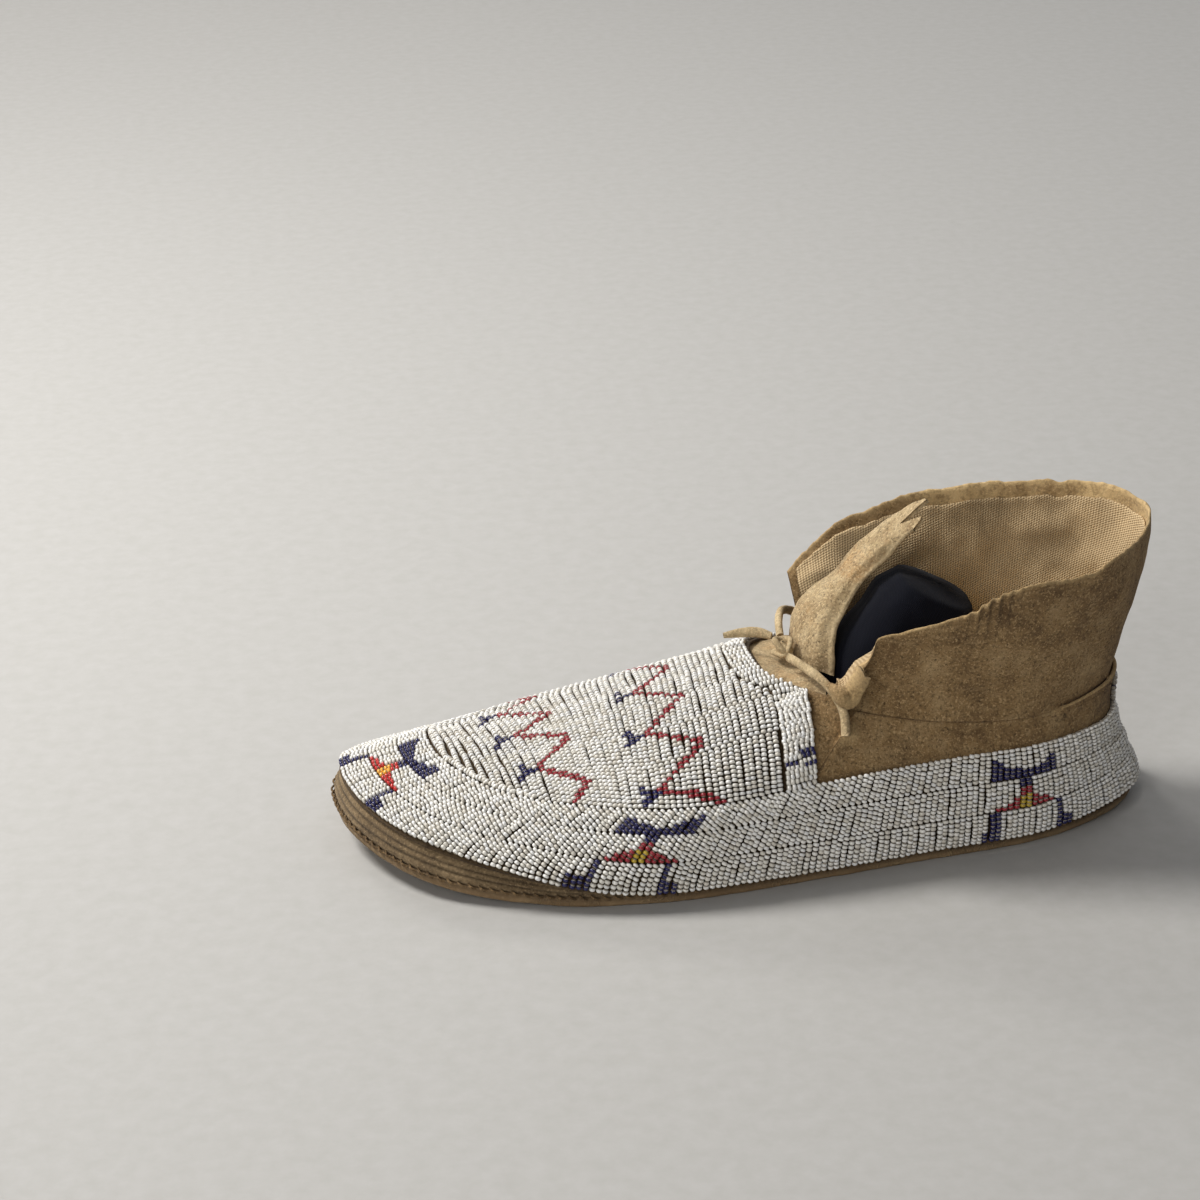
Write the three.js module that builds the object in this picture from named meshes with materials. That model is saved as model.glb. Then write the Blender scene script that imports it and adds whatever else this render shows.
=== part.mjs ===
// A left-foot, two-piece, hard-sole moccasin: rawhide sole, soft hide upper covered with
// rows of sewn seed beads, an ankle collar lined with cloth, a forked tongue, a hide thong,
// and the padded cloth form that holds the mouth open.
// Millimetres. Toe towards -X, outer side of the foot towards -Y, up is +Z.
import * as THREE from 'three';

// ---- Driving dimensions -------------------------------------------------------------------
const SOLE_THICKNESS = 3.2;
const TOE_SPRING = 8.5;          // how far the toe end of the sole curls up
const TOE_SPRING_START = -40;  // the sole is flat from here to the heel
const HEEL_SPRING = 1.2;
const HEEL_SPRING_START = 88;
const RAND_TOE = 6.5;          // height of the turned hide margin at the toe
const RAND_HEEL = 0.9;         // and from the ball back
const RAND_FROM = -30;         // the margin starts to rise here, and is full height
const RAND_FULL = -105;        // from here to the toe tip
const TOE_INSET = 3;           // how far the upper stands in from the sole's edge at the toe
const TOE_RISE = 3;            // how steeply the upper leaves the sole round the toe
const INNER_SLOPE = 12;        // how much the inner side of the vamp falls away
const GAP = 0.3;               // clearance between sewn layers
const HIDE = 1.3;              // thickness of the upper hide
const BEAD = 1.7;              // thickness of the bead cover
const COVER_GAP = 0.5;         // clearance between the hide and its bead cover
const LINING = 0.9;
const LANE = 9.4;              // width of one sewn lane of beads
const SINEW = 1.1;             // diameter of the seam threads
const THONG = 2.8;             // diameter of the tie
const CENTRE = [-0.6, 0];         // moves the middle of the bounding box to the origin

const BORDER_TOP = 0.3 + 3 * (LANE + GAP);  // climb from the sole seam to the top of the border

// Matching points round the foot, toe tip first, then outer side, heel and inner side.
// SOLE is the edge of the sole in plan; MOUTH is the line where the collar and tongue are sewn.
const SOLE = [
  [-127, 15], [-121, -12], [-101, -37], [-70, -49], [-32, -52], [8, -46],
  [50, -37], [91, -28], [118, -12], [126.5, 3], [121, 19], [97, 31],
  [58, 35], [14, 42], [-28, 50], [-68, 53], [-99, 47], [-118, 34],
];
const MOUTH = [
  [4, 6, 54], [5, -4, 54], [7, -11, 53.5], [12, -17, 53], [21, -22, 51.5], [34, -26, 48.5],
  [58, -28.5, 44], [88, -25, 42], [111, -13, 45], [118, 2, 47], [112, 16, 45], [90, 25, 42],
  [60, 28, 43], [34, 27, 46.5], [19, 24, 49.5], [10, 19, 51.5], [6, 14, 53], [4.5, 10, 53.5],
];
// Rim of the collar, from the outer front corner (MOUTH point 4) round the heel to point 14.
const RIM = [
  [18, -25, 57], [38, -29, 74], [62, -33, 81], [88, -33, 89], [112, -22, 91], [125.5, 2, 95],
  [118, 22, 96.5], [95, 33, 95], [62, 34, 92], [35, 33, 84], [16, 30, 65],
];
const RAYS = SOLE.length;
// The two long edges of the tongue, from its root to its points.
const TONGUE_OUTER_EDGE = [
  [24.5, -13, 54], [26, -8, 63], [29.5, -3, 70], [35.5, 0.5, 78.3], [44, 2, 86], [51, 0, 93], [57, -3, 99],
];
const TONGUE_INNER_EDGE = [
  [17.5, 9, 54], [19, 14, 63.5], [24.5, 15.5, 69.5], [32, 14.5, 75.5],
  [38.5, 14, 84.5], [49.5, 11, 95], [59.5, 7, 103],
];
const TONGUE_NOTCH = 0.84;     // how far up the fork between the two points starts

// ---- Curves and the surface of the upper --------------------------------------------------
const vec = (x, y, z) => new THREE.Vector3(x, y, z);
const clamp01 = (t) => Math.min(1, Math.max(0, t));
const mix = (a, b, t) => a + (b - a) * t;

const soleCurve = new THREE.CatmullRomCurve3(SOLE.map(([x, y]) => vec(x, y, 0)), true, 'catmullrom');
const mouthCurve = new THREE.CatmullRomCurve3(MOUTH.map((p) => vec(...p)), true, 'catmullrom');
const rimCurve = new THREE.CatmullRomCurve3(RIM.map((p) => vec(...p)), false, 'catmullrom');

// Height of the underside of the sole above the floor.
function spring(x) {
  const toe = clamp01((TOE_SPRING_START - x) / (TOE_SPRING_START + 127));
  const heel = clamp01((x - HEEL_SPRING_START) / (127 - HEEL_SPRING_START));
  return TOE_SPRING * toe * toe + HEEL_SPRING * heel * heel;
}

// 0 from the ball back, 1 round the toe.
const toeShare = (x) => THREE.MathUtils.smoothstep(-x, -RAND_FROM, -RAND_FULL);
// The margin shows on the outer side of the toe and is lower on the inner side.
function randHeight(edge) {
  const inner = mix(1, 0.45, clamp01((edge.y - 10) / 25));
  return mix(RAND_HEEL, RAND_TOE, toeShare(edge.x) * inner);
}

// The seam where the upper meets the margin, s = 0..1 round the foot from the toe tip.
function footLine(s) {
  const edge = soleCurve.getPoint((s + 1) % 1);
  const p = edge.clone().addScaledVector(outward(s), -TOE_INSET * toeShare(edge.x));
  p.z = spring(edge.x) + SOLE_THICKNESS + randHeight(edge) + 2 * GAP;
  return p;
}

// Unit vector pointing away from the foot, level with the floor.
function outward(s) {
  const t = soleCurve.getTangent((s + 1) % 1);
  return vec(t.y, -t.x, 0).normalize();
}

// Each ray s climbs from the sole seam (v = 0) to the mouth (v = 1) as a cubic curve.
function rayCurve(s) {
  const foot = footLine(s);
  const mouth = mouthCurve.getPoint((s + 1) % 1);
  const reach = Math.hypot(foot.x - mouth.x, foot.y - mouth.y);
  const short = Math.exp(-reach / 30);
  const heel = clamp01((foot.x - 85) / 35);
  const toe = toeShare(foot.x);
  const low = foot.clone().addScaledVector(outward(s), mix(1.6, -5, heel) - 9 * toe);
  low.z += mix(13, TOE_RISE, toe);
  const spread = mix(0.36 + 0.24 * short, -0.7, heel);
  const high = mouth.clone().lerp(vec(foot.x, foot.y, mouth.z), spread);
  const inner = clamp01((foot.y - 20) / 25) * clamp01((40 - foot.x) / 40);
  high.z -= mix(6 + 6 * short, 14, heel) + INNER_SLOPE * inner + 4 * toe * (1 - inner);
  return new THREE.CubicBezierCurve3(foot, low, high, mouth);
}

const upperPoint = (s, v) => rayCurve(s).getPoint(v);

// Point on the upper, `lift` millimetres outside its inner face.
function upper(s, v, lift) {
  const e = 0.002;
  const v0 = Math.max(0, v - 0.01);
  const v1 = Math.min(1, v + 0.01);
  const along = upperPoint(s + e, v).sub(upperPoint(s - e, v));
  const up = upperPoint(s, v1).sub(upperPoint(s, v0));
  const normal = along.cross(up).normalize();
  return upperPoint(s, v).addScaledVector(normal, lift);
}

// The v at which the ray has climbed `distance` millimetres from the sole seam.
function climb(s, distance) {
  const ray = rayCurve(s);
  const steps = 80;
  let last = ray.getPoint(0);
  let travelled = 0;
  for (let i = 1; i <= steps; i += 1) {
    const next = ray.getPoint(i / steps);
    const piece = next.distanceTo(last);
    if (travelled + piece >= distance) return (i - 1 + (distance - travelled) / piece) / steps;
    travelled += piece;
    last = next;
  }
  return 1;
}

// ---- Turning closed three.js geometries into sheets, rings and plates -----------------------
// Every shape starts as a closed box or lathe whose vertices are then laid on a surface.
function warp(geometry, place) {
  const position = geometry.getAttribute('position');
  for (let i = 0; i < position.count; i += 1) {
    const p = place(i, position.getX(i), position.getY(i), position.getZ(i));
    position.setXYZ(i, p.x, p.y, p.z);
  }
  return faceOut(geometry);
}

// Turns the triangles round when the warped body would be inside out.
function faceOut(geometry) {
  const position = geometry.getAttribute('position');
  const index = geometry.getIndex();
  const corner = [vec(0, 0, 0), vec(0, 0, 0), vec(0, 0, 0)];
  let volume = 0;
  for (let i = 0; i < index.count; i += 3) {
    corner.forEach((c, k) => c.fromBufferAttribute(position, index.getX(i + k)));
    volume += corner[0].dot(corner[1].clone().cross(corner[2]));
  }
  if (volume < 0) {
    for (let i = 0; i < index.count; i += 3) {
      const first = index.getX(i);
      index.setX(i, index.getX(i + 2));
      index.setX(i + 2, first);
    }
  }
  return geometry;
}

// An open sheet: place(u, v, w) with all three running 0..1.
function sheet(place, along, across) {
  const box = new THREE.BoxGeometry(1, 1, 1, along, across, 1);
  return warp(box, (i, x, y, z) => place(x + 0.5, y + 0.5, z + 0.5));
}

// A closed loop round the foot: `section` is a closed list of [v, w] corners.
function ring(place, around, section) {
  const closed = [...section, section[0]];
  const lathe = new THREE.LatheGeometry(closed.map(([v, w]) => new THREE.Vector2(2 + w, v)), around);
  return warp(lathe, (i) => {
    const [v, w] = closed[i % closed.length];
    return place(Math.floor(i / closed.length) / around, v, w);
  });
}

// A solid of rings shrinking to one point on each end: `profile` is a list of [radius, height].
function plate(place, around, profile) {
  const lathe = new THREE.LatheGeometry(profile.map(([r, h]) => new THREE.Vector2(r, h)), around);
  return warp(lathe, (i) => {
    const [r, h] = profile[i % profile.length];
    return place(Math.floor(i / profile.length) / around, r, h);
  });
}

// A round thread or thong along a list of points.
function cord(points, diameter, steps, closed = false) {
  const path = new THREE.CatmullRomCurve3(points, closed, 'centripetal');
  const round = new THREE.Shape();
  round.absarc(0, 0, diameter / 2, 0, 2 * Math.PI, false);
  const options = { steps, curveSegments: 4, bevelEnabled: false, extrudePath: path };
  return new THREE.ExtrudeGeometry(round, options);
}

function material(color, roughness) {
  return new THREE.MeshStandardMaterial({ color, roughness, metalness: 0 });
}

function node(name, geometry, mat) {
  const mesh = new THREE.Mesh(geometry, mat);
  mesh.name = name;
  return mesh;
}

const rawhide = () => material(0x8a7350, 0.8);
const hide = () => material(0x8c7350, 0.95);
const paleHide = () => material(0xc8aa78, 0.95);
const beads = () => material(0xe1ded7, 0.3);
const sinew = () => material(0x6e5a3c, 0.7);

// ---- Sole -----------------------------------------------------------------------------------
function solePlate() {
  const middle = vec(0, 0, 0);
  const profile = [[0, 0], [0.4, 0], [0.75, 0], [1, 0], [1, 1], [0.75, 1], [0.4, 1], [0, 1]];
  return plate((s, r, h) => {
    const edge = soleCurve.getPoint(s % 1);
    const p = middle.clone().lerp(edge, r);
    p.z = spring(p.x) + h * SOLE_THICKNESS;
    return p;
  }, 72, profile);
}

// The margin of the upper, turned in and sewn down between sole and upper.
function rand() {
  const section = [[0, 0], [1, 0], [1, 1], [0, 1]];
  return ring((s, v, w) => {
    const edge = soleCurve.getPoint(s % 1);
    const lean = v * TOE_INSET * toeShare(edge.x);
    const p = edge.clone().addScaledVector(outward(s), mix(-5.5, -0.4, w) - lean);
    p.z = spring(edge.x) + SOLE_THICKNESS + GAP + v * randHeight(edge);
    return p;
  }, 72, section);
}

// Sinew laid in the seam just outside the margin.
function soleSeam() {
  const points = [];
  for (let i = 0; i < 60; i += 1) {
    const s = i / 60;
    const edge = soleCurve.getPoint(s);
    const p = edge.clone().addScaledVector(outward(s), GAP + SINEW / 2 + 0.1);
    p.z = spring(edge.x) + SOLE_THICKNESS - 0.3;
    points.push(p);
  }
  return cord(points, SINEW, 78, true);
}

// ---- Upper hide -------------------------------------------------------------------------------
const THROAT_OUTER = 5 / RAYS;   // the rays where the beaded vamp meets the plain quarters
const THROAT_INNER = 13 / RAYS;
const HEEL = 9 / RAYS;
const SLIT = 0.0012;             // half the cut between two hides, as a share of the way round

function vampHide() {
  const across = (u) => mix(THROAT_INNER - 1 + SLIT, THROAT_OUTER - SLIT, u);
  return sheet((u, v, w) => upper(across(u), v, w * HIDE), 40, 8);
}

function quarterHide(from, to) {
  return sheet((u, v, w) => upper(mix(from + SLIT, to - SLIT, u), v, w * HIDE), 20, 6);
}

// ---- Bead cover --------------------------------------------------------------------------------
const TOE_FAN = -86;  // the lengthwise lanes stop here and a fan of beads closes the toe
const LANES = 8;      // lengthwise lanes across the vamp
const TAB_FROM = 7.8; // the tabs run across the corners of the throat
const TAB_TO = 18;
const HEEL_STRIP = 0.016;  // half-width of the heel lane, as a share of the way round
const coverLift = (w) => HIDE + COVER_GAP + w * BEAD;

// One lane of the border, `row` lanes above the sole seam.
function borderLane(from, to, row) {
  const low = 0.3 + row * (LANE + GAP);
  return sheet((u, v, w) => {
    const s = mix(from + SLIT, to - SLIT, u);
    return upper(s, climb(s, low + v * LANE), coverLift(w));
  }, 44, 2);
}

// Short lane that runs up the heel and covers the seam between the two quarters.
function heelStrip() {
  return sheet((u, v, w) => {
    const s = HEEL + mix(-HEEL_STRIP, HEEL_STRIP, u);
    const top = rayCurve(s).getLength() - 4.4;
    return upper(s, climb(s, mix(BORDER_TOP + GAP, top, v)), coverLift(w));
  }, 4, 6);
}

// Plan view of the surface above the border, used to lay the lengthwise lanes.
const GRID_S = 216;
const GRID_V = 40;
const plan = [];
for (let i = 0; i < GRID_S; i += 1) {
  const row = [];
  for (let j = 0; j <= GRID_V; j += 1) row.push(upperPoint(i / GRID_S, j / GRID_V));
  plan.push(row);
}

function inTriangle(x, y, a, b, c) {
  const area = (b.x - a.x) * (c.y - a.y) - (c.x - a.x) * (b.y - a.y);
  if (Math.abs(area) < 1e-9) return null;
  const p = ((b.x - x) * (c.y - y) - (c.x - x) * (b.y - y)) / area;
  const q = ((c.x - x) * (a.y - y) - (a.x - x) * (c.y - y)) / area;
  const r = 1 - p - q;
  if (p < -1e-6 || q < -1e-6 || r < -1e-6) return null;
  return p * a.z + q * b.z + r * c.z;
}

// Highest point of the upper's inner face over the floor point (x, y).
function heightAt(x, y) {
  let best = -Infinity;
  for (let i = 0; i < GRID_S; i += 1) {
    const here = plan[i];
    const next = plan[(i + 1) % GRID_S];
    for (let j = 0; j < GRID_V; j += 1) {
      const a = inTriangle(x, y, here[j], next[j], next[j + 1]);
      const b = inTriangle(x, y, here[j], next[j + 1], here[j + 1]);
      if (a !== null) best = Math.max(best, a);
      if (b !== null) best = Math.max(best, b);
    }
  }
  return best;
}

function overVamp(x, y, lift) {
  const e = 1.5;
  const z = heightAt(x, y);
  const dx = (heightAt(x + e, y) - heightAt(x - e, y)) / (2 * e);
  const dy = (heightAt(x, y + e) - heightAt(x, y - e)) / (2 * e);
  const normal = vec(Number.isFinite(dx) ? -dx : 0, Number.isFinite(dy) ? -dy : 0, 1).normalize();
  return vec(x, y, z).addScaledVector(normal, lift);
}

// Line `distance` millimetres up from the sole seam, all round the foot.
function contour(distance, count) {
  return Array.from({ length: count }, (_, i) => upperPoint(i / count, climb(i / count, distance)));
}

function insideOutline(outline, x, y) {
  let inside = false;
  outline.forEach((a, i) => {
    const b = outline[(i + 1) % outline.length];
    if ((a.y > y) !== (b.y > y) && x < a.x + ((y - a.y) / (b.y - a.y)) * (b.x - a.x)) inside = !inside;
  });
  return inside;
}

const borderOutline = contour(BORDER_TOP + 0.2, 240);
const mouthOutline = mouthCurve.getPoints(240).slice(0, 240);

// Finds the change of `test` between two values, to a few hundredths of a millimetre.
function edgeBetween(yes, no, test) {
  let inside = yes;
  let outside = no;
  for (let i = 0; i < 14; i += 1) {
    const middle = (inside + outside) / 2;
    if (test(middle)) inside = middle;
    else outside = middle;
  }
  return inside;
}

// Middle of the vamp in plan: from the toe tip to the throat.
const footAxis = (x) => mix(4, 15, clamp01((4 - x) / 131));
const borderSide = (x, away) => edgeBetween(footAxis(x), footAxis(x) + away * 70,
  (y) => insideOutline(borderOutline, x, y));
const mouthSide = (x, away) => edgeBetween(footAxis(x) + away * 60, footAxis(x),
  (y) => !insideOutline(mouthOutline, x - 0.5, y));
const throatFront = (y) => edgeBetween(-20, 40, (x) => !insideOutline(mouthOutline, x, y)) - 0.6;

// Patch of bead cover on the vamp. `sideAt(x, v)` is its position across the foot and
// `from`, `to(y)` its two ends.
function vampPatch(sideAt, from, to, along, across, extra = 0) {
  return sheet((u, v, w) => {
    const end = to(sideAt(to(0), v));
    const x = mix(from, end, u);
    return overVamp(x, sideAt(x, v), coverLift(w) + extra);
  }, along, across);
}

// Lengthwise lane number `lane` of LANES, counted from the outer side.
function vampLane(lane) {
  const sideAt = (x, v) => {
    const share = (lane + mix(0.02, 0.98, v)) / LANES;
    return mix(borderSide(x, -1), borderSide(x, 1), share);
  };
  const end = (y) => Math.min(TAB_FROM - GAP, throatFront(y));
  return vampPatch(sideAt, TOE_FAN, end, 18, 2);
}

// Beads across the end of the vamp at each corner of the throat.
function throatTab(away) {
  const sideAt = (x, v) => mix(borderSide(x, away), mouthSide(x, away) + away * 1.2, mix(0.02, 1, v));
  return vampPatch(sideAt, TAB_FROM, () => TAB_TO, 5, 6, GAP);
}

// Fan of beads that closes the toe in front of the lanes.
function toeFan() {
  const front = borderOutline[0].x + 0.8;
  const sideAt = (x, v) => mix(borderSide(x, -1), borderSide(x, 1), mix(0.02, 0.98, v));
  return vampPatch(sideAt, front, () => TOE_FAN - GAP, 8, 12);
}

// ---- Collar, lining, tongue --------------------------------------------------------------------
const COLLAR_FROM = 4.7 / RAYS;
const COLLAR_TO = 13.8 / RAYS;
const TUCK = 4;  // how far the collar reaches down inside the quarters

function collarCurve(s) {
  const rim = rimCurve.getPoint(clamp01((s * RAYS - 4) / 10));
  const fromCorner = Math.min(s - COLLAR_FROM, COLLAR_TO - s) * RAYS;
  const depth = -GAP - HIDE - 1.5 - 1.8 * clamp01(1 - fromCorner / 1.8);
  const base = upper(s, climb(s, rayCurve(s).getLength() - TUCK), depth);
  const guide = upper(s, 1, depth - 1.4);
  guide.z += 9;
  const heel = clamp01((rim.x - 90) / 35);
  const knee = guide.clone().lerp(rim, 0.5).addScaledVector(outward(s), mix(3, 8, heel));
  return new THREE.CubicBezierCurve3(base, guide, knee, rim);
}

// Point on the collar, q = 0 at the tucked edge and 1 at the rim.
function collarPoint(s, q, lift) {
  const e = 0.003;
  const along = collarCurve(s + e).getPoint(q).sub(collarCurve(s - e).getPoint(q));
  const up = collarCurve(s).getTangent(q);
  return collarCurve(s).getPoint(q).addScaledVector(along.cross(up).normalize(), lift);
}

const collarHide = () => sheet((u, v, w) => collarPoint(mix(COLLAR_FROM, COLLAR_TO, u), v, w * HIDE), 40, 6);

const collarLining = () => sheet((u, v, w) => collarPoint(
  mix(COLLAR_FROM + 0.004, COLLAR_TO - 0.004, u), mix(0.02, 0.93, v), -GAP - w * LINING), 40, 6);

function collarSeam() {
  const points = [];
  for (let i = 0; i <= 30; i += 1) {
    const s = mix(COLLAR_FROM + 0.01, COLLAR_TO - 0.01, i / 30);
    points.push(upper(s, 0.96, HIDE + GAP + SINEW / 2));
  }
  return cord(points, SINEW, 56);
}

// How far up the tongue reaches at `u` across it: two points with a notch between them.
function tongueReach(u) {
  if (u < 0.2) return mix(0.93, 0.97, u / 0.2);
  if (u < 0.45) return mix(0.97, TONGUE_NOTCH, (u - 0.2) / 0.25);
  if (u < 0.75) return mix(TONGUE_NOTCH, 1, (u - 0.45) / 0.3);
  return mix(1, 0.96, (u - 0.75) / 0.25);
}

function tongueHide() {
  const outer = new THREE.CatmullRomCurve3(TONGUE_OUTER_EDGE.map((p) => vec(...p)));
  const inner = new THREE.CatmullRomCurve3(TONGUE_INNER_EDGE.map((p) => vec(...p)));
  return sheet((u, v, w) => {
    const up = v * tongueReach(u);
    const across = inner.getPoint(up).sub(outer.getPoint(up));
    const along = inner.getTangent(up).add(outer.getTangent(up));
    const normal = across.clone().cross(along).normalize();
    return outer.getPoint(up).addScaledVector(across, u).addScaledVector(normal, w * HIDE);
  }, 20, 16);
}

// ---- Padded form ------------------------------------------------------------------------------
const FORM_DEPTH = 17;    // half-size front to back
const FORM_WIDTH = 17.5;    // half-size side to side
const FORM_HEIGHT = 72;
const FORM_FOOT = vec(19, 1, 19);   // middle of its underside
const FORM_LEAN = 37;    // degrees back from upright
const FORM_TOP_SLOPE = 0.2;

function paddedForm() {
  const profile = [
    [0, 0], [0.6, 0.01], [0.92, 0.05], [1, 0.16], [0.98, 0.6], [0.92, 0.88], [0.75, 0.97], [0, 1],
  ];
  return plate((s, r, h) => {
    const angle = 2 * Math.PI * s;
    const round = (t) => Math.sign(t) * Math.abs(t) ** 0.75;
    const front = round(Math.cos(angle)) * r * FORM_DEPTH;
    const side = round(Math.sin(angle)) * r * FORM_WIDTH;
    return vec(front, side, h * (FORM_HEIGHT + FORM_TOP_SLOPE * front));
  }, 28, profile);
}

// ---- Tie ----------------------------------------------------------------------------------------
// The thong comes up through a hole on each side, crosses the throat and is knotted in front of
// the tongue.
const KNOT = vec(13.3, -1, 58);
const KNOT_SIZE = [3.6, 4.4, 3.6];
const OUTER_STRAND = [
  [14, -7.4, 58], [17, -14, 58], [21, -21, 57], [25, -27.5, 54], [27, -32, 49.5], [27, -35.5, 44],
];
const INNER_STRAND = [[13.5, 5.4, 59], [14, 12, 61], [16, 20, 61], [20, 27, 58], [24, 32, 53], [26, 35, 46]];
const LOOSE_END = [[10.3, 2.6, 60.8], [6, 5, 61.2], [1, 6.5, 60.6], [-4, 7.5, 59.6]];

const strand = (points) => cord(points.map((p) => vec(...p)), THONG, 22);

function knot() {
  const lump = new THREE.SphereGeometry(1, 14, 10);
  lump.scale(...KNOT_SIZE);
  return lump;
}

// ---- Assembly ------------------------------------------------------------------------------------
const moccasin = new THREE.Group();
const add = (name, geometry, mat) => moccasin.add(node(name, geometry, mat));

add('sole_rawhide', solePlate(), rawhide());
add('sole_margin', rand(), hide());
add('sole_seam_sinew', soleSeam(), sinew());
add('vamp_hide', vampHide(), hide());
add('quarter_outer', quarterHide(THROAT_OUTER, HEEL), hide());
add('quarter_inner', quarterHide(HEEL, THROAT_INNER), hide());
for (let row = 0; row < 3; row += 1) {
  add(`border_outer_${row + 1}`, borderLane(0, HEEL, row), beads());
  add(`border_inner_${row + 1}`, borderLane(HEEL, 1, row), beads());
}
add('toe_fan', toeFan(), beads());
for (let lane = 0; lane < LANES; lane += 1) add(`vamp_lane_${lane + 1}`, vampLane(lane), beads());
add('throat_tab_outer', throatTab(-1), beads());
add('throat_tab_inner', throatTab(1), beads());
add('collar_hide', collarHide(), hide());
add('collar_lining', collarLining(), material(0x967d5f, 0.95));
add('collar_seam_sinew', collarSeam(), sinew());
add('heel_strip', heelStrip(), beads());

add('tongue_hide', tongueHide(), paleHide());

add('tie_strand_outer', strand(OUTER_STRAND), paleHide());
add('tie_strand_inner', strand(INNER_STRAND), paleHide());
add('tie_loose_end', strand(LOOSE_END), paleHide());
const tieKnot = node('tie_knot', knot(), paleHide());
tieKnot.position.copy(KNOT);
moccasin.add(tieKnot);

const form = node('padded_form', paddedForm(), material(0x10121d, 0.95));
form.position.copy(FORM_FOOT);
form.rotation.set(0, THREE.MathUtils.degToRad(FORM_LEAN), 0);
moccasin.add(form);

moccasin.position.set(CENTRE[0], CENTRE[1], 0);
export default moccasin;
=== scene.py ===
"""Looks of a left-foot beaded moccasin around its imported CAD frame.

Lengths are millimetres in the object's own coordinates (toe towards -X, outer side of the foot
towards -Y) until `build` writes them into Blender in metres.
"""
import math

import bpy
import numpy as np
from mathutils import Matrix, Vector


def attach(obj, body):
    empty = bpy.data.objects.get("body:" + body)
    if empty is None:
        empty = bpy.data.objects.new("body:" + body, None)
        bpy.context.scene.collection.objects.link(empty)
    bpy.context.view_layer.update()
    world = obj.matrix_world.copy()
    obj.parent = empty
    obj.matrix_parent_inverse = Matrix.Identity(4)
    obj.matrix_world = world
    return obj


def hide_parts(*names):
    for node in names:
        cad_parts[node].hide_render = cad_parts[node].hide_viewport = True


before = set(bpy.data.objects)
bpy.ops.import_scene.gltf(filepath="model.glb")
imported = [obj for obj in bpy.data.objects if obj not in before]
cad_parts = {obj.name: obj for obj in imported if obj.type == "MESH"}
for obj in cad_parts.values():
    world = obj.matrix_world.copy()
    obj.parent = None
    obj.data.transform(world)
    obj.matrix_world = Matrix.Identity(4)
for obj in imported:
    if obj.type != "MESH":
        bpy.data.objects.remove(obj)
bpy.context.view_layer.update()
rng = np.random.default_rng(20)

# ---- Driving dimensions, the same as the CAD's ------------------------------------------------
CENTRE = np.array([-0.6, 0.0, 0.0])
SOLE_THICKNESS = 3.2
TOE_SPRING, TOE_SPRING_START = 8.5, -40.0
HEEL_SPRING, HEEL_SPRING_START = 1.2, 88.0
RAND_TOE, RAND_HEEL = 6.5, 0.9
TOE_INSET, TOE_RISE, INNER_SLOPE = 3.0, 3.0, 12.0
GAP, HIDE, LINING = 0.3, 1.3, 0.9
LANE = 9.4
LANES = 8
BORDER_TOP = 0.3 + 3 * (LANE + GAP)
TOE_FAN, TAB_FROM, TAB_TO = -86.0, 7.8, 18.0
HEEL_STRIP = 0.016
RAYS = 18
THROAT_OUTER, THROAT_INNER, HEEL = 5 / RAYS, 13 / RAYS, 9 / RAYS
COLLAR_FROM, COLLAR_TO = 4.7 / RAYS, 13.8 / RAYS
TUCK = 4.0
THONG = 2.8

SOLE = np.array([
    [-127, 15], [-121, -12], [-101, -37], [-70, -49], [-32, -52], [8, -46],
    [50, -37], [91, -28], [118, -12], [126.5, 3], [121, 19], [97, 31],
    [58, 35], [14, 42], [-28, 50], [-68, 53], [-99, 47], [-118, 34],
])
MOUTH = np.array([
    [4, 6, 54], [5, -4, 54], [7, -11, 53.5], [12, -17, 53], [21, -22, 51.5], [34, -26, 48.5],
    [58, -28.5, 44], [88, -25, 42], [111, -13, 45], [118, 2, 47], [112, 16, 45], [90, 25, 42],
    [60, 28, 43], [34, 27, 46.5], [19, 24, 49.5], [10, 19, 51.5], [6, 14, 53], [4.5, 10, 53.5],
])
RIM = np.array([
    [18, -25, 57], [38, -29, 74], [62, -33, 81], [88, -33, 89], [112, -22, 91], [125.5, 2, 95],
    [118, 22, 96.5], [95, 33, 95], [62, 34, 92], [35, 33, 84], [16, 30, 65],
])

# ---- Beads ------------------------------------------------------------------------------------
BEAD_WIDTH = 1.86      # across the hole
BEAD_LENGTH = 1.27     # along the thread
STRING_PITCH = 1.93    # from one string to the next
HUMP = 0.45            # how far the middle of a string stands off the hide
WHITE, NAVY, RED, MUSTARD, ORANGE, BRIGHT = range(6)


# ---- Camera, light and floor ------------------------------------------------------------------
CAMERA_PLACE = np.array([-123.1, -829.2, 449.6])
CAMERA_ANGLES = (5.523, 24.074, -1.041)    # yaw, pitch below the horizon and roll, in degrees
CAMERA_LENS, CAMERA_SENSOR = 90, 36
FLOOR_HALF = 4.0                           # metres


def make_camera():
    yaw, pitch, roll = (math.radians(a) for a in CAMERA_ANGLES)
    level = math.cos(pitch)
    forward = np.array([math.sin(yaw) * level, math.cos(yaw) * level, -math.sin(pitch)])
    side = np.array([math.cos(yaw), -math.sin(yaw), 0.0])
    up = np.cross(side, forward)
    right = side * math.cos(roll) + up * math.sin(roll)
    top = -side * math.sin(roll) + up * math.cos(roll)
    place = (CAMERA_PLACE + CENTRE) / 1000
    data = bpy.data.cameras.new("camera")
    data.lens, data.sensor_width = CAMERA_LENS, CAMERA_SENSOR
    data.clip_start, data.clip_end = 0.05, 50
    camera = bpy.data.objects.new("camera", data)
    bpy.context.scene.collection.objects.link(camera)
    matrix = Matrix.Identity(4)
    for column, vector in enumerate((right, top, -forward, place)):
        for k in range(3):
            matrix[k][column] = vector[k]
    camera.matrix_world = matrix
    bpy.context.scene.camera = camera


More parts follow.
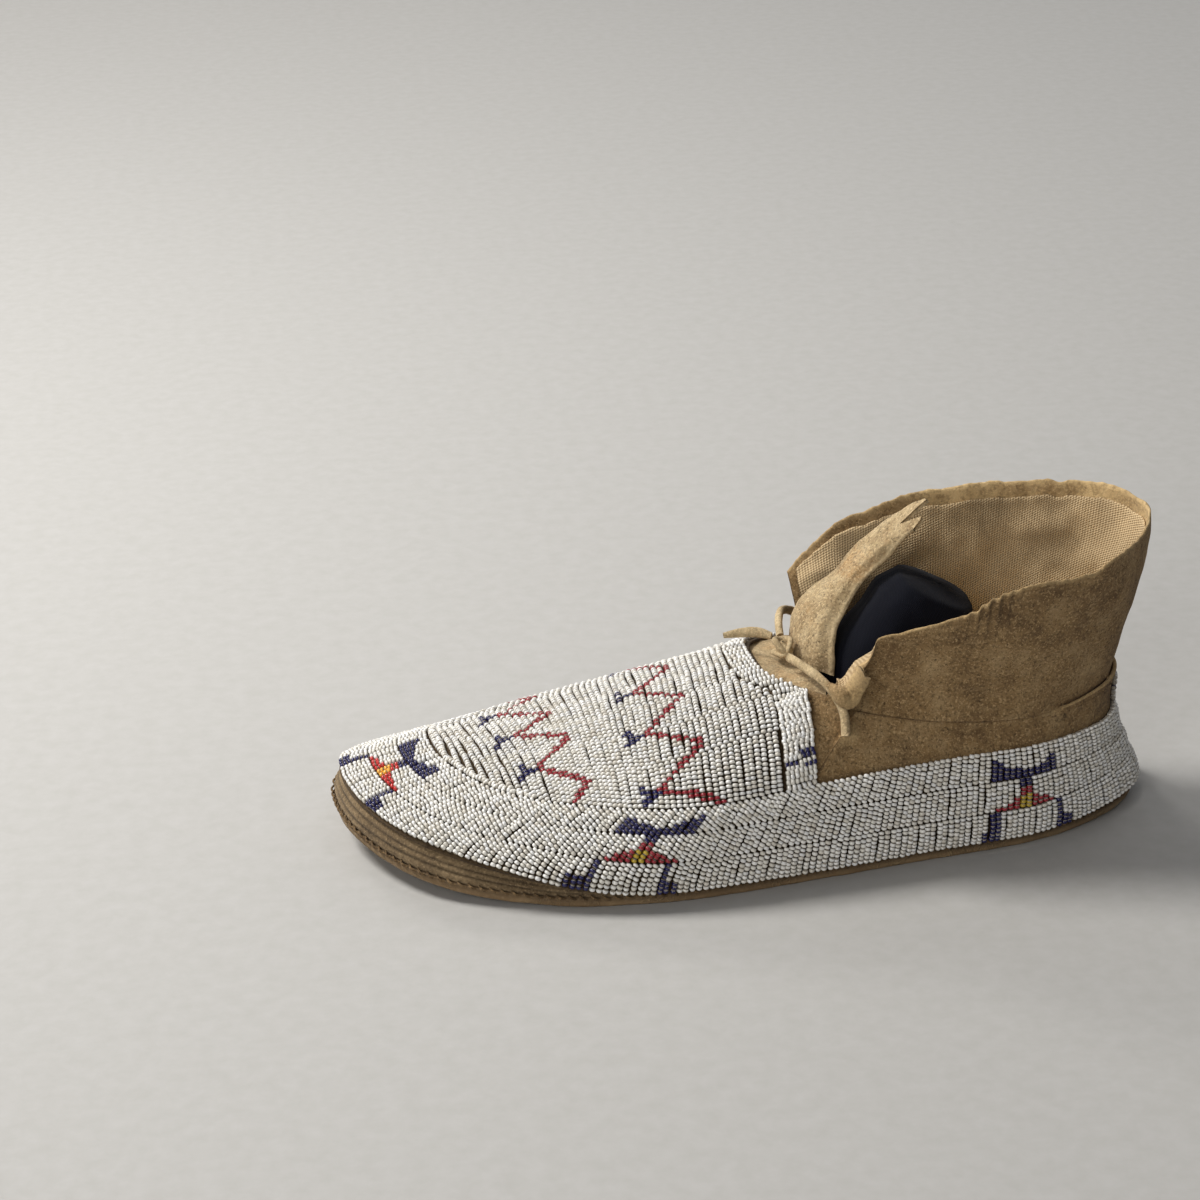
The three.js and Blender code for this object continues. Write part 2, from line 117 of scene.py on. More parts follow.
def area_light(name, place, aim, size, power, colour):
    data = bpy.data.lights.new(name, "AREA")
    data.shape, data.size, data.energy, data.color = "DISK", size, power, colour
    light = bpy.data.objects.new(name, data)
    light.location = place
    light.rotation_euler = (Vector(aim) - Vector(place)).to_track_quat("-Z", "Y").to_euler()
    bpy.context.scene.collection.objects.link(light)


def make_studio():
    area_light("key", (-0.75, 0.35, 1.0), (0, 0, 0.03), 0.45, 17.0, (1.0, 0.985, 0.965))
    area_light("fill", (-0.9, -1.3, 0.78), (0, 0, 0.03), 1.1, 10.4, (1.0, 0.99, 0.98))
    area_light("back", (0.5, 1.1, 0.9), (0.05, 0, 0.05), 1.6, 3.5, (0.95, 0.97, 1.0))
    area_light("band", (-0.7, 1.6, 1.1), (0.1, 1.4, 0), 0.6, 10.0, (1.0, 0.98, 0.96))
    world = bpy.data.worlds.new("studio")
    world.use_nodes = True
    back = world.node_tree.nodes["Background"]
    back.inputs["Color"].default_value = (0.62, 0.63, 0.66, 1)
    back.inputs["Strength"].default_value = 0.22
    bpy.context.scene.world = world
    bpy.context.scene.view_settings.view_transform = "Standard"
    make_floor()


def make_floor():
    mesh = bpy.data.meshes.new("floor")
    corners = [(x * FLOOR_HALF, y * FLOOR_HALF, 0) for x, y in ((-1, -1), (1, -1), (1, 1), (-1, 1))]
    mesh.from_pydata(corners, [], [(0, 1, 2, 3)])
    floor = bpy.data.objects.new("floor", mesh)
    bpy.context.scene.collection.objects.link(floor)
    paint = Paint("floor", 0.75)
    grain = paint.noise(6.0, 3, 0.6)
    paint.colour(paint.ramp(grain, [(0.3, (176, 174, 169)), (0.7, (182, 180, 176))]))
    mesh.materials.append(paint.material)


# ---- Materials --------------------------------------------------------------------------------
def linear(rgb):
    """sRGB 0..255 as the linear colour that a shader takes."""
    return tuple(c / 3294.6 if c <= 10.3 else ((c / 255 + 0.055) / 1.055) ** 2.4 for c in rgb) + (1.0,)


class Paint:
    """A Principled material and the few node patterns that the moccasin needs."""

    def __init__(self, name, roughness, sheen=0.0, coat=0.0, specular=0.5):
        self.material = bpy.data.materials.new(name)
        self.material.use_nodes = True
        self.tree = self.material.node_tree
        self.shader = self.tree.nodes["Principled BSDF"]
        for socket, value in (("Roughness", roughness), ("Sheen Weight", sheen), ("Coat Weight", coat),
                              ("Specular IOR Level", specular), ("Sheen Roughness", 0.6)):
            self.shader.inputs[socket].default_value = value
        self.vector = None
        self.heights = []

    def link(self, source, target):
        self.tree.links.new(source, target)

    def new(self, kind, **settings):
        node = self.tree.nodes.new(kind)
        for key, value in settings.items():
            setattr(node, key, value)
        return node

    def position(self):
        """Millimetres in the object's own frame."""
        if self.vector is None:
            scale = self.new("ShaderNodeVectorMath", operation="SCALE")
            scale.inputs["Scale"].default_value = 1000
            self.link(self.new("ShaderNodeTexCoord").outputs["Object"], scale.inputs[0])
            self.vector = scale.outputs[0]
        return self.vector

    def flat(self):
        """Millimetres on the cloth laid flat."""
        return self.new("ShaderNodeUVMap", uv_map="flat").outputs["UV"]

    def attribute(self, name):
        return self.new("ShaderNodeAttribute", attribute_name=name).outputs["Fac"]

    def stretch(self, vector, factors):
        node = self.new("ShaderNodeVectorMath", operation="MULTIPLY")
        node.inputs[1].default_value = factors
        self.link(vector, node.inputs[0])
        return node.outputs[0]

    def noise(self, size, detail=2, roughness=0.5, vector=None, distortion=0.0):
        """Cloudy pattern with features about `size` millimetres across."""
        node = self.new("ShaderNodeTexNoise")
        node.inputs["Scale"].default_value = 1 / size
        node.inputs["Detail"].default_value = detail
        node.inputs["Roughness"].default_value = roughness
        node.inputs["Distortion"].default_value = distortion
        self.link(vector or self.position(), node.inputs["Vector"])
        return node.outputs["Fac"]

    def cells(self, size, vector):
        """Distance to the edge of cells about `size` millimetres across."""
        node = self.new("ShaderNodeTexVoronoi", feature="DISTANCE_TO_EDGE")
        node.inputs["Scale"].default_value = 1 / size
        self.link(vector, node.inputs["Vector"])
        return node.outputs["Distance"]

    def ramp(self, value, stops):
        """Colours between stops of (value, sRGB)."""
        node = self.new("ShaderNodeValToRGB")
        points = node.color_ramp.elements
        while len(points) < len(stops):
            points.new(0.5)
        for point, (at, rgb) in zip(points, stops):
            point.position, point.color = at, linear(rgb)
        self.link(value, node.inputs["Fac"])
        return node.outputs["Color"]

    def between(self, value, low, high, to_low=0.0, to_high=1.0):
        node = self.new("ShaderNodeMapRange")
        numbers = {"From Min": low, "From Max": high, "To Min": to_low, "To Max": to_high}
        for socket, number in numbers.items():
            node.inputs[socket].default_value = number
        self.link(value, node.inputs["Value"])
        return node.outputs["Result"]

    def maths(self, operation, a, b):
        node = self.new("ShaderNodeMath", operation=operation)
        for socket, value in zip(node.inputs, (a, b)):
            if isinstance(value, (int, float)):
                socket.default_value = value
            else:
                self.link(value, socket)
        return node.outputs[0]

    def blend(self, share, first, second):
        node = self.new("ShaderNodeMix", data_type="RGBA", blend_type="MIX")
        for key, value in ((0, share), (6, first), (7, second)):
            if isinstance(value, (int, float)):
                node.inputs[key].default_value = value
            elif isinstance(value, tuple):
                node.inputs[key].default_value = linear(value)
            else:
                self.link(value, node.inputs[key])
        return node.outputs[2]

    def colour(self, value):
        if isinstance(value, tuple):
            self.shader.inputs["Base Color"].default_value = linear(value)
        else:
            self.link(value, self.shader.inputs["Base Color"])

    def relief(self, height, depth):
        """Adds bump of `depth` millimetres from a 0..1 height."""
        node = self.new("ShaderNodeBump")
        node.inputs["Strength"].default_value = 1.0
        node.inputs["Distance"].default_value = depth / 1000
        self.link(height, node.inputs["Height"])
        if self.heights:
            self.link(self.heights[-1], node.inputs["Normal"])
        self.heights.append(node.outputs["Normal"])
        self.link(node.outputs["Normal"], self.shader.inputs["Normal"])


def suede(name, light, middle, dark, stain, pale=(212, 182, 132), size=1.0, drag=0.35):
    """Brain-tanned hide: mottled, napped, pale where the edge is raw, and darkened by dirt and by painted
    shade in the creases, grooves and under beads.
    """
    paint = Paint(name, 0.95, sheen=0.06, specular=0.15)
    clouds = paint.noise(15 * size, 5, 0.68)
    tone = paint.ramp(clouds, [(0.32, dark), (0.5, middle), (0.68, light)])
    blotch = paint.between(paint.noise(26 * size, 3, 0.6, distortion=0.5), 0.54, 0.7, 0, 0.5)
    tone = paint.blend(blotch, tone, stain)
    rub = paint.noise(2.2, 3, 0.7, vector=paint.stretch(paint.position(), (drag, 1.0, 1.0)))
    tone = paint.blend(paint.between(rub, 0.52, 0.72, 0, 0.55), tone, light)
    nap = paint.noise(0.95, 4, 0.8)
    pits = paint.between(nap, 0.34, 0.5, 0.8, 0.0)
    tone = paint.blend(pits, tone, tuple(int(c * 0.5) for c in dark))
    fleck = paint.between(paint.noise(0.8, 3, 0.75), 0.53, 0.66, 0, 0.75)
    tone = paint.blend(fleck, tone, tuple(min(255, int(c * 1.18)) for c in light))
    patches = paint.between(paint.noise(1.6, 3, 0.7), 0.3, 0.55, 0.35, 1)
    tone = paint.blend(paint.maths("MULTIPLY", paint.attribute("wear"), patches), tone, pale)
    # Darkens with dirt and with painted shade, which the pieces lay in creases, grooves and under the beads.
    tone = paint.blend(paint.attribute("dirt_and_shade"), tone, (40, 30, 21))
    paint.colour(tone)
    paint.relief(paint.noise(3.5, 3, 0.6), 0.45)
    paint.relief(nap, 0.42)
    return paint.material


def rawhide():
    """Dried rawhide with a crazed, soiled face."""
    paint = Paint("rawhide", 0.8, sheen=0.03, specular=0.3)
    clouds = paint.noise(34, 5, 0.62)
    tone = paint.ramp(clouds, [(0.3, (76, 58, 42)), (0.5, (112, 90, 66)), (0.7, (152, 131, 101))])
    soil = paint.between(paint.noise(20, 4, 0.7, distortion=0.6), 0.55, 0.72, 0, 0.7)
    tone = paint.blend(soil, tone, (62, 46, 32))
    speck = paint.between(paint.noise(1.3, 3, 0.7), 0.52, 0.72, 0, 0.5)
    tone = paint.blend(speck, tone, (158, 136, 106))
    warp = paint.new("ShaderNodeVectorMath", operation="ADD")
    wander = paint.new("ShaderNodeTexNoise")
    wander.inputs["Scale"].default_value = 0.45
    paint.link(paint.position(), wander.inputs["Vector"])
    shake = paint.new("ShaderNodeVectorMath", operation="SCALE")
    shake.inputs["Scale"].default_value = 1.6
    paint.link(wander.outputs["Color"], shake.inputs[0])
    paint.link(paint.position(), warp.inputs[0])
    paint.link(shake.outputs[0], warp.inputs[1])
    coarse = paint.cells(3.4, warp.outputs[0])
    fine = paint.cells(1.7, warp.outputs[0])
    crazed = paint.between(paint.noise(26, 3, 0.6, distortion=0.3), 0.44, 0.56)
    lines = paint.maths("MULTIPLY", paint.between(coarse, 0.0, 0.05, 1, 0), crazed)
    hair = paint.maths("MULTIPLY", paint.between(fine, 0.0, 0.05, 0.45, 0), crazed)
    tone = paint.blend(paint.maths("MULTIPLY", lines, 0.75), tone, (196, 170, 128))
    tone = paint.blend(paint.maths("MULTIPLY", hair, 0.6), tone, (178, 150, 112))
    tone = paint.blend(paint.attribute("wear"), tone, (150, 124, 88))
    tone = paint.blend(paint.attribute("dirt_and_shade"), tone, (50, 38, 27))
    paint.colour(tone)
    paint.relief(paint.maths("ADD", lines, hair), 0.25)
    paint.relief(paint.noise(1.1, 3, 0.7), 0.25)
    return paint.material


def twill(name, light, dark, pitch, relief, sheen=0.05):
    """Woven cloth with diagonal ribs, in millimetres on the flat cloth."""
    paint = Paint(name, 0.95, sheen=sheen, specular=0.15)
    flat = paint.flat()
    split = paint.new("ShaderNodeSeparateXYZ")
    paint.link(flat, split.inputs[0])
    turn = 2 * math.pi / pitch
    warp = paint.maths("SINE", paint.maths("MULTIPLY", split.outputs[0], turn), 0)
    along = paint.maths("ADD", paint.maths("MULTIPLY", split.outputs[1], turn),
                        paint.maths("MULTIPLY", split.outputs[0], turn * 0.5))
    weft = paint.maths("SINE", along, 0)
    weave = paint.between(paint.maths("ADD", warp, weft), -2, 2)
    soft = paint.noise(0.5, 2, 0.6)
    yarn = paint.maths("ADD", paint.maths("MULTIPLY", weave, 0.8), paint.maths("MULTIPLY", soft, 0.3))
    tone = paint.ramp(yarn, [(0.25, dark), (0.75, light)])
    grime = paint.between(paint.noise(22, 4, 0.6), 0.45, 0.75, 0, 0.5)
    tone = paint.blend(grime, tone, tuple(int(c * 0.62) for c in dark))
    tone = paint.blend(paint.attribute("dirt_and_shade"), tone, (46, 34, 24))
    paint.colour(tone)
    paint.relief(weave, relief)
    return paint.material


def glass(name, rgb, roughness=0.28):
    paint = Paint(name, roughness, coat=0.25)
    paint.shader.inputs["Coat Roughness"].default_value = 0.15
    paint.colour(rgb)
    return paint.material


# ---- Curves and surfaces of the CAD, for whole arrays of values ---------------------------------
def clamp01(t):
    return np.clip(t, 0.0, 1.0)


def mix(a, b, t):
    return a + (b - a) * t


def smooth01(t):
    t = clamp01(t)
    return t * t * (3 - 2 * t)


def unit(v):
    return v / np.maximum(np.linalg.norm(v, axis=-1, keepdims=True), 1e-9)


def catmull(points, t, closed):
    """Catmull-Rom curve through the points, t = 0..1."""
    p = np.asarray(points, float)
    n = len(p)
    if closed:
        u = (np.asarray(t, float) % 1) * n
        i = np.floor(u).astype(int)
        p0, p1, p2, p3 = (p[(i + k) % n] for k in (-1, 0, 1, 2))
    else:
        u = clamp01(np.asarray(t, float)) * (n - 1)
        i = np.minimum(np.floor(u).astype(int), n - 2)
        ext = np.vstack([2 * p[:1] - p[1:2], p, 2 * p[-1:] - p[-2:-1]])
        p0, p1, p2, p3 = (ext[i + k] for k in (0, 1, 2, 3))
    w = (u - i)[..., None]
    m1, m2 = (p2 - p0) / 2, (p3 - p1) / 2
    return p1 + m1 * w + (3 * (p2 - p1) - 2 * m1 - m2) * w ** 2 + (2 * (p1 - p2) + m1 + m2) * w ** 3


def spring(x):
    toe = clamp01((TOE_SPRING_START - x) / (TOE_SPRING_START + 127))
    heel = clamp01((x - HEEL_SPRING_START) / (127 - HEEL_SPRING_START))
    return TOE_SPRING * toe ** 2 + HEEL_SPRING * heel ** 2


def toe_share(x):
    return smooth01((-x - 30) / 75)


def rand_height(edge):
    inner = mix(1, 0.45, clamp01((edge[..., 1] - 10) / 25))
    return mix(RAND_HEEL, RAND_TOE, toe_share(edge[..., 0]) * inner)


def outward(s):
    t = unit(catmull(SOLE, s + 1e-4, True) - catmull(SOLE, s - 1e-4, True))
    return np.stack([t[..., 1], -t[..., 0], np.zeros(t.shape[:-1])], -1)


def sole_edge(s):
    edge = catmull(SOLE, s, True)
    return np.concatenate([edge, np.zeros(edge.shape[:-1] + (1,))], -1)


def foot_line(s):
    edge = sole_edge(s)
    p = edge - outward(s) * (TOE_INSET * toe_share(edge[..., 0]))[..., None]
    p[..., 2] = spring(edge[..., 0]) + SOLE_THICKNESS + rand_height(edge) + 2 * GAP
    return p


def ray(s):
    """Corners of the cubic curve that climbs from the sole seam to the mouth at s."""
    foot = foot_line(s)
    mouth = catmull(MOUTH, s, True)
    reach = np.hypot(foot[..., 0] - mouth[..., 0], foot[..., 1] - mouth[..., 1])
    short = np.exp(-reach / 30)
    heel = clamp01((foot[..., 0] - 85) / 35)
    toe = toe_share(foot[..., 0])
    low = foot + outward(s) * (mix(1.6, -5, heel) - 9 * toe)[..., None]
    low[..., 2] += mix(13, TOE_RISE, toe)
    spread = mix(0.36 + 0.24 * short, -0.7, heel)
    over = foot.copy()
    over[..., 2] = mouth[..., 2]
    high = mix(mouth, over, spread[..., None])
    inner = clamp01((foot[..., 1] - 20) / 25) * clamp01((40 - foot[..., 0]) / 40)
    high[..., 2] -= mix(6 + 6 * short, 14, heel) + INNER_SLOPE * inner + 4 * toe * (1 - inner)
    return foot, low, high, mouth


def bezier(corners, t):
    t = np.asarray(t)[..., None]
    a, b, c, d = corners
    return a * (1 - t) ** 3 + 3 * b * t * (1 - t) ** 2 + 3 * c * t ** 2 * (1 - t) + d * t ** 3


def upper_point(s, v):
    s, v = np.broadcast_arrays(np.asarray(s, float), np.asarray(v, float))
    return bezier(ray(s), v)


def upper(s, v, lift=0.0):
    """Points on the upper and their outward normals, `lift` outside the hide's inner face."""
    s, v = np.broadcast_arrays(np.asarray(s, float), np.asarray(v, float))
    along = upper_point(s + 0.002, v) - upper_point(s - 0.002, v)
    up = upper_point(s, np.minimum(1, v + 0.01)) - upper_point(s, np.maximum(0, v - 0.01))
    normal = unit(np.cross(along, up))
    return upper_point(s, v) + normal * np.asarray(lift)[..., None], normal


def climb(s, distance):
    """The v at which each ray has climbed that far from the sole seam."""
    s, distance = np.broadcast_arrays(np.asarray(s, float), np.asarray(distance, float))
    steps = 60
    t = np.linspace(0, 1, steps + 1)
    corners = [c[..., None, :] for c in ray(s)]
    line = bezier(corners, np.broadcast_to(t, s.shape + (steps + 1,)))
    pieces = np.linalg.norm(np.diff(line, axis=-2), axis=-1)
    travelled = np.concatenate([np.zeros(s.shape + (1,)), np.cumsum(pieces, -1)], -1)
    k = np.clip((travelled <= distance[..., None]).sum(-1) - 1, 0, steps - 1)
    start = np.take_along_axis(travelled, k[..., None], -1)[..., 0]
    piece = np.take_along_axis(pieces, k[..., None], -1)[..., 0]
    return clamp01((k + (distance - start) / np.maximum(piece, 1e-9)) / steps)


def ray_length(s):
    line = upper_point(np.asarray(s, float)[..., None], np.linspace(0, 1, 61))
    return np.linalg.norm(np.diff(line, axis=-2), axis=-1).sum(-1)


def collar_curve(s):
    rim = catmull(RIM, clamp01((s * RAYS - 4) / 10), False)
    from_corner = np.minimum(s - COLLAR_FROM, COLLAR_TO - s) * RAYS
    depth = -GAP - HIDE - 1.5 - 1.8 * clamp01(1 - from_corner / 1.8)
    base = upper(s, climb(s, ray_length(s) - TUCK), depth)[0]
    guide = upper(s, np.ones_like(s), depth - 1.4)[0]
    guide[..., 2] += 9
    heel = clamp01((rim[..., 0] - 90) / 35)
    knee = mix(guide, rim, 0.5) + outward(s) * mix(3, 8, heel)[..., None]
    return base, guide, knee, rim


def collar_point(s, q, lift=0.0):
    s, q = np.broadcast_arrays(np.asarray(s, float), np.asarray(q, float))
    along = bezier(collar_curve(s + 0.003), q) - bezier(collar_curve(s - 0.003), q)
    here = collar_curve(s)
    up = bezier(here, np.minimum(1, q + 0.01)) - bezier(here, np.maximum(0, q - 0.01))
    normal = unit(np.cross(along, up))
    return bezier(here, q) + normal * np.asarray(lift)[..., None], normal


# ---- Random but repeatable unevenness -----------------------------------------------------------
def lumps(points, size, seed=0, octaves=1):
    """Smooth values within -1..1 that change over `size` millimetres."""
    total, weight = 0.0, 1.0
    for octave in range(octaves):
        p = np.asarray(points, float) / (size / 2 ** octave) + 31.7 * (seed + octave)
        cell = np.floor(p).astype(np.int64)
        f = smooth01(p - cell)
        value = 0.0
        for corner in range(8):
            bit = np.array([(corner >> k) & 1 for k in range(3)])
            c = cell + bit
            h = (c[..., 0] * 73856093) ^ (c[..., 1] * 19349663) ^ (c[..., 2] * 83492791)
            h = h ^ (seed * 7919 + 13)
            h = ((h ^ (h >> 13)) * 1274126177) & 0xFFFFFFFF
            nearness = np.prod(np.where(bit, f, 1 - f), -1)
            value = value + (((h ^ (h >> 15)) & 0xFFFF) / 32767.5 - 1) * nearness
        total = total + value * weight
        weight *= 0.5
    return total


# ---- Meshes -------------------------------------------------------------------------------------
def place(name, mesh, body, node, slot):
    """Adds a piece to the scene, hangs it on the body that it rides on, and hides the CAD part that it
    stands for.
    """
    piece = bpy.data.objects.new(name, mesh)
    bpy.context.scene.collection.objects.link(piece)
    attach(piece, body)
    if node:
        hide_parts(node)
    return piece


def build(name, points, faces, paint, body, node, slot, flat=None, layers=None):
    """Makes a piece from millimetre points. layers are its values of wear, and of dirt and painted shade."""
    mesh = bpy.data.meshes.new(name)
    mesh.from_pydata(((np.asarray(points).reshape(-1, 3) + CENTRE) / 1000).tolist(), [], faces)
    mesh.materials.append(paint)
    mesh.polygons.foreach_set("use_smooth", [True] * len(mesh.polygons))
    corners = np.zeros(len(mesh.loops), np.int32)
    mesh.loops.foreach_get("vertex_index", corners)
    if flat is not None:
        layer = mesh.uv_layers.new(name="flat")
        layer.data.foreach_set("uv", np.asarray(flat, np.float32).reshape(-1, 2)[corners].ravel())
    for key, values in (layers or {}).items():
        attribute = mesh.attributes.new(key, "FLOAT", "POINT")
        attribute.data.foreach_set("value", np.asarray(values, np.float32).ravel())
    mesh.update()
    return place(name, mesh, body, node, slot)


def grid_faces(rows, columns, wrap_rows=False, wrap_columns=False, first=0):
    r = np.arange(rows if wrap_rows else rows - 1)[:, None]
    c = np.arange(columns if wrap_columns else columns - 1)[None, :]
    r2, c2 = (r + 1) % rows, (c + 1) % columns
    quads = np.stack([r * columns + c, r2 * columns + c, r2 * columns + c2, r * columns + c2], -1)
    return (quads.reshape(-1, 4) + first).tolist()


def turned(faces):
    """The same faces, seen from the other side."""
    return [f[::-1] for f in faces]


def distances(line):
    """Distance of each point along a line, from its start."""
    return np.concatenate([[0], np.cumsum(np.linalg.norm(np.diff(line, axis=0), axis=1))])


def points_at(at, far, line):
    """Points of a line at those distances along it."""
    return np.stack([np.interp(at, far, line[:, k]) for k in range(3)], 1)


def sheet_loops(face, normal, thickness):
    """Closed cross-sections of a hide from its outer face, with rounded edges."""
    back = face - normal * thickness[..., None]
    out_low, out_high = (face[:, :1] - face[:, 1:2]), (face[:, -1:] - face[:, -2:-1])
    low = (face[:, :1] + back[:, :1]) / 2 + unit(out_low) * thickness[:, :1, None] * 0.35
    high = (face[:, -1:] + back[:, -1:]) / 2 + unit(out_high) * thickness[:, -1:, None] * 0.35
    return np.concatenate([face, high, back[:, ::-1], low], 1)


def spread(values):
    """A value on each point of the outer face, repeated on the rest of the cross-section."""
    return np.concatenate([values, values[:, -1:], values[:, ::-1], values[:, :1]], 1)


def sweep(name, loops, paint, body, node, slot, **more):
    """Joins closed cross-sections in a row, and caps the two ends."""
    rows, columns = loops.shape[:2]
    faces = grid_faces(rows, columns, False, True)
    half = (columns - 2) // 2
    strip = [[i, i + 1, 2 * half - i - 1, 2 * half - i] for i in range(half - 1)]
    strip += [[half - 1, half, half + 1], [2 * half + 1, 0, 2 * half]]
    last = (rows - 1) * columns
    faces += turned(strip)
    faces += [[last + i for i in f] for f in strip]
    return build(name, loops, faces, paint, body, node, slot, **more)


def tube_points(path, widths, normals=None, sides=10):
    """Cross-sections of a thong: widths is (points x 2), across and through."""
    path = np.asarray(path, float)
    tangent = unit(np.gradient(path, axis=0))
    if normals is None:
        normals = np.zeros_like(path)
        n = np.cross(tangent[0], [0.3, 0.2, 1.0])
        for i, t in enumerate(tangent):
            n = unit(n - t * np.dot(n, t))
            normals[i] = n
    side = unit(np.cross(tangent, normals))
    a = np.linspace(0, 2 * np.pi, sides, endpoint=False)[None, :, None]
    w = np.asarray(widths)[:, None, :]
    sideways = side[:, None] * np.cos(a) * w[..., :1] / 2
    return path[:, None] + sideways + normals[:, None] * np.sin(a) * w[..., 1:] / 2


def tube_faces(rings, sides, first=0):
    faces = grid_faces(rings, sides, False, True, first)
    faces.append([first + i for i in range(sides)][::-1])
    faces.append([first + (rings - 1) * sides + i for i in range(sides)])
    return faces


def resample(path, count):
    path = np.asarray(path, float)
    far = distances(path)
    return points_at(np.linspace(0, far[-1], count), far, path)


def smooth_path(points, count):
    return resample(catmull(points, np.linspace(0, 1, count * 4), False), count)


# ---- Tie: the cords, made first ------------------------------------------------------------------
OUTER_STRAND = [
    [14, -7.4, 58], [17, -14, 58], [21, -21, 57], [25, -27.5, 54], [27, -32, 49.5], [27, -35.5, 44],
]
INNER_STRAND = [
    [13.5, 5.4, 59], [14, 12, 61], [16, 20, 61], [20, 27, 58], [24, 32, 53], [26, 35, 46],
]
LOOSE_END = [[10.3, 2.6, 60.8], [6, 5, 61.2], [1, 6.5, 60.6], [-4, 7.5, 59.6]]
KNOT = np.array([13.3, -1, 58])


def thong(name, points, node, hide):
    rows, sides = 34, 12
    path = smooth_path(points, rows)
    across, through = 1.06 + 0.1 * lumps(path, 3, 5), 0.84 + 0.12 * lumps(path, 4, 6)
    widths = np.stack([THONG * across, THONG * through], 1)
    rings = tube_points(path, widths, sides=sides)
    rings += (lumps(rings, 1.6, 9) * 0.12)[..., None] * unit(rings - path[:, None])
    wear = np.repeat(0.25 + 0.25 * lumps(path, 4, 2)[:, None], sides, 1)
    piece = build(name, rings, tube_faces(rows, sides), hide, "shoe", node, "hide_pale",
                  layers={"wear": wear, "dirt_and_shade": np.zeros_like(wear)})


# ---- Bead work ------------------------------------------------------------------------------------
BEAD_SIDES = 8
BEAD_PROFILE = [(0.4, -0.5), (0.8, -0.4), (1.0, -0.13), (1.0, 0.13), (0.8, 0.4), (0.4, 0.5)]


def bead_template():
    """Points and faces of one bead, with radius and length 1."""
    sides, bands = BEAD_SIDES, len(BEAD_PROFILE) - 1
    a = np.linspace(0, 2 * np.pi, sides, endpoint=False)
    points = np.array([[r * math.cos(t), r * math.sin(t), z] for r, z in BEAD_PROFILE for t in a])
    faces = []
    for low in range(0, bands * sides, sides):
        for c in range(sides):
            after = (c + 1) % sides
            faces.append([low + c, low + after, low + sides + after, low + sides + c])
    last = bands * sides
    faces += [list(range(sides))[::-1], [last + i for i in range(sides)]]
    return points, faces


# Unevenness of the hand work. For a string: beads more or fewer, stand and bow in millimetres, width.
STRING_COUNT, STRING_STAND, STRING_BOW, STRING_WIDTH = 0.35, 0.05, 0.16, 0.015
# For a bead: slip along the thread in beads, shift in millimetres, tilt, width and length as shares.
BEAD_SLIP, BEAD_SHIFT, BEAD_TILT, BEAD_UNLIKE, BEAD_SHORT = 0.03, 0.045, 0.07, 0.035, 0.03
LONGEST_BEAD = 1.45


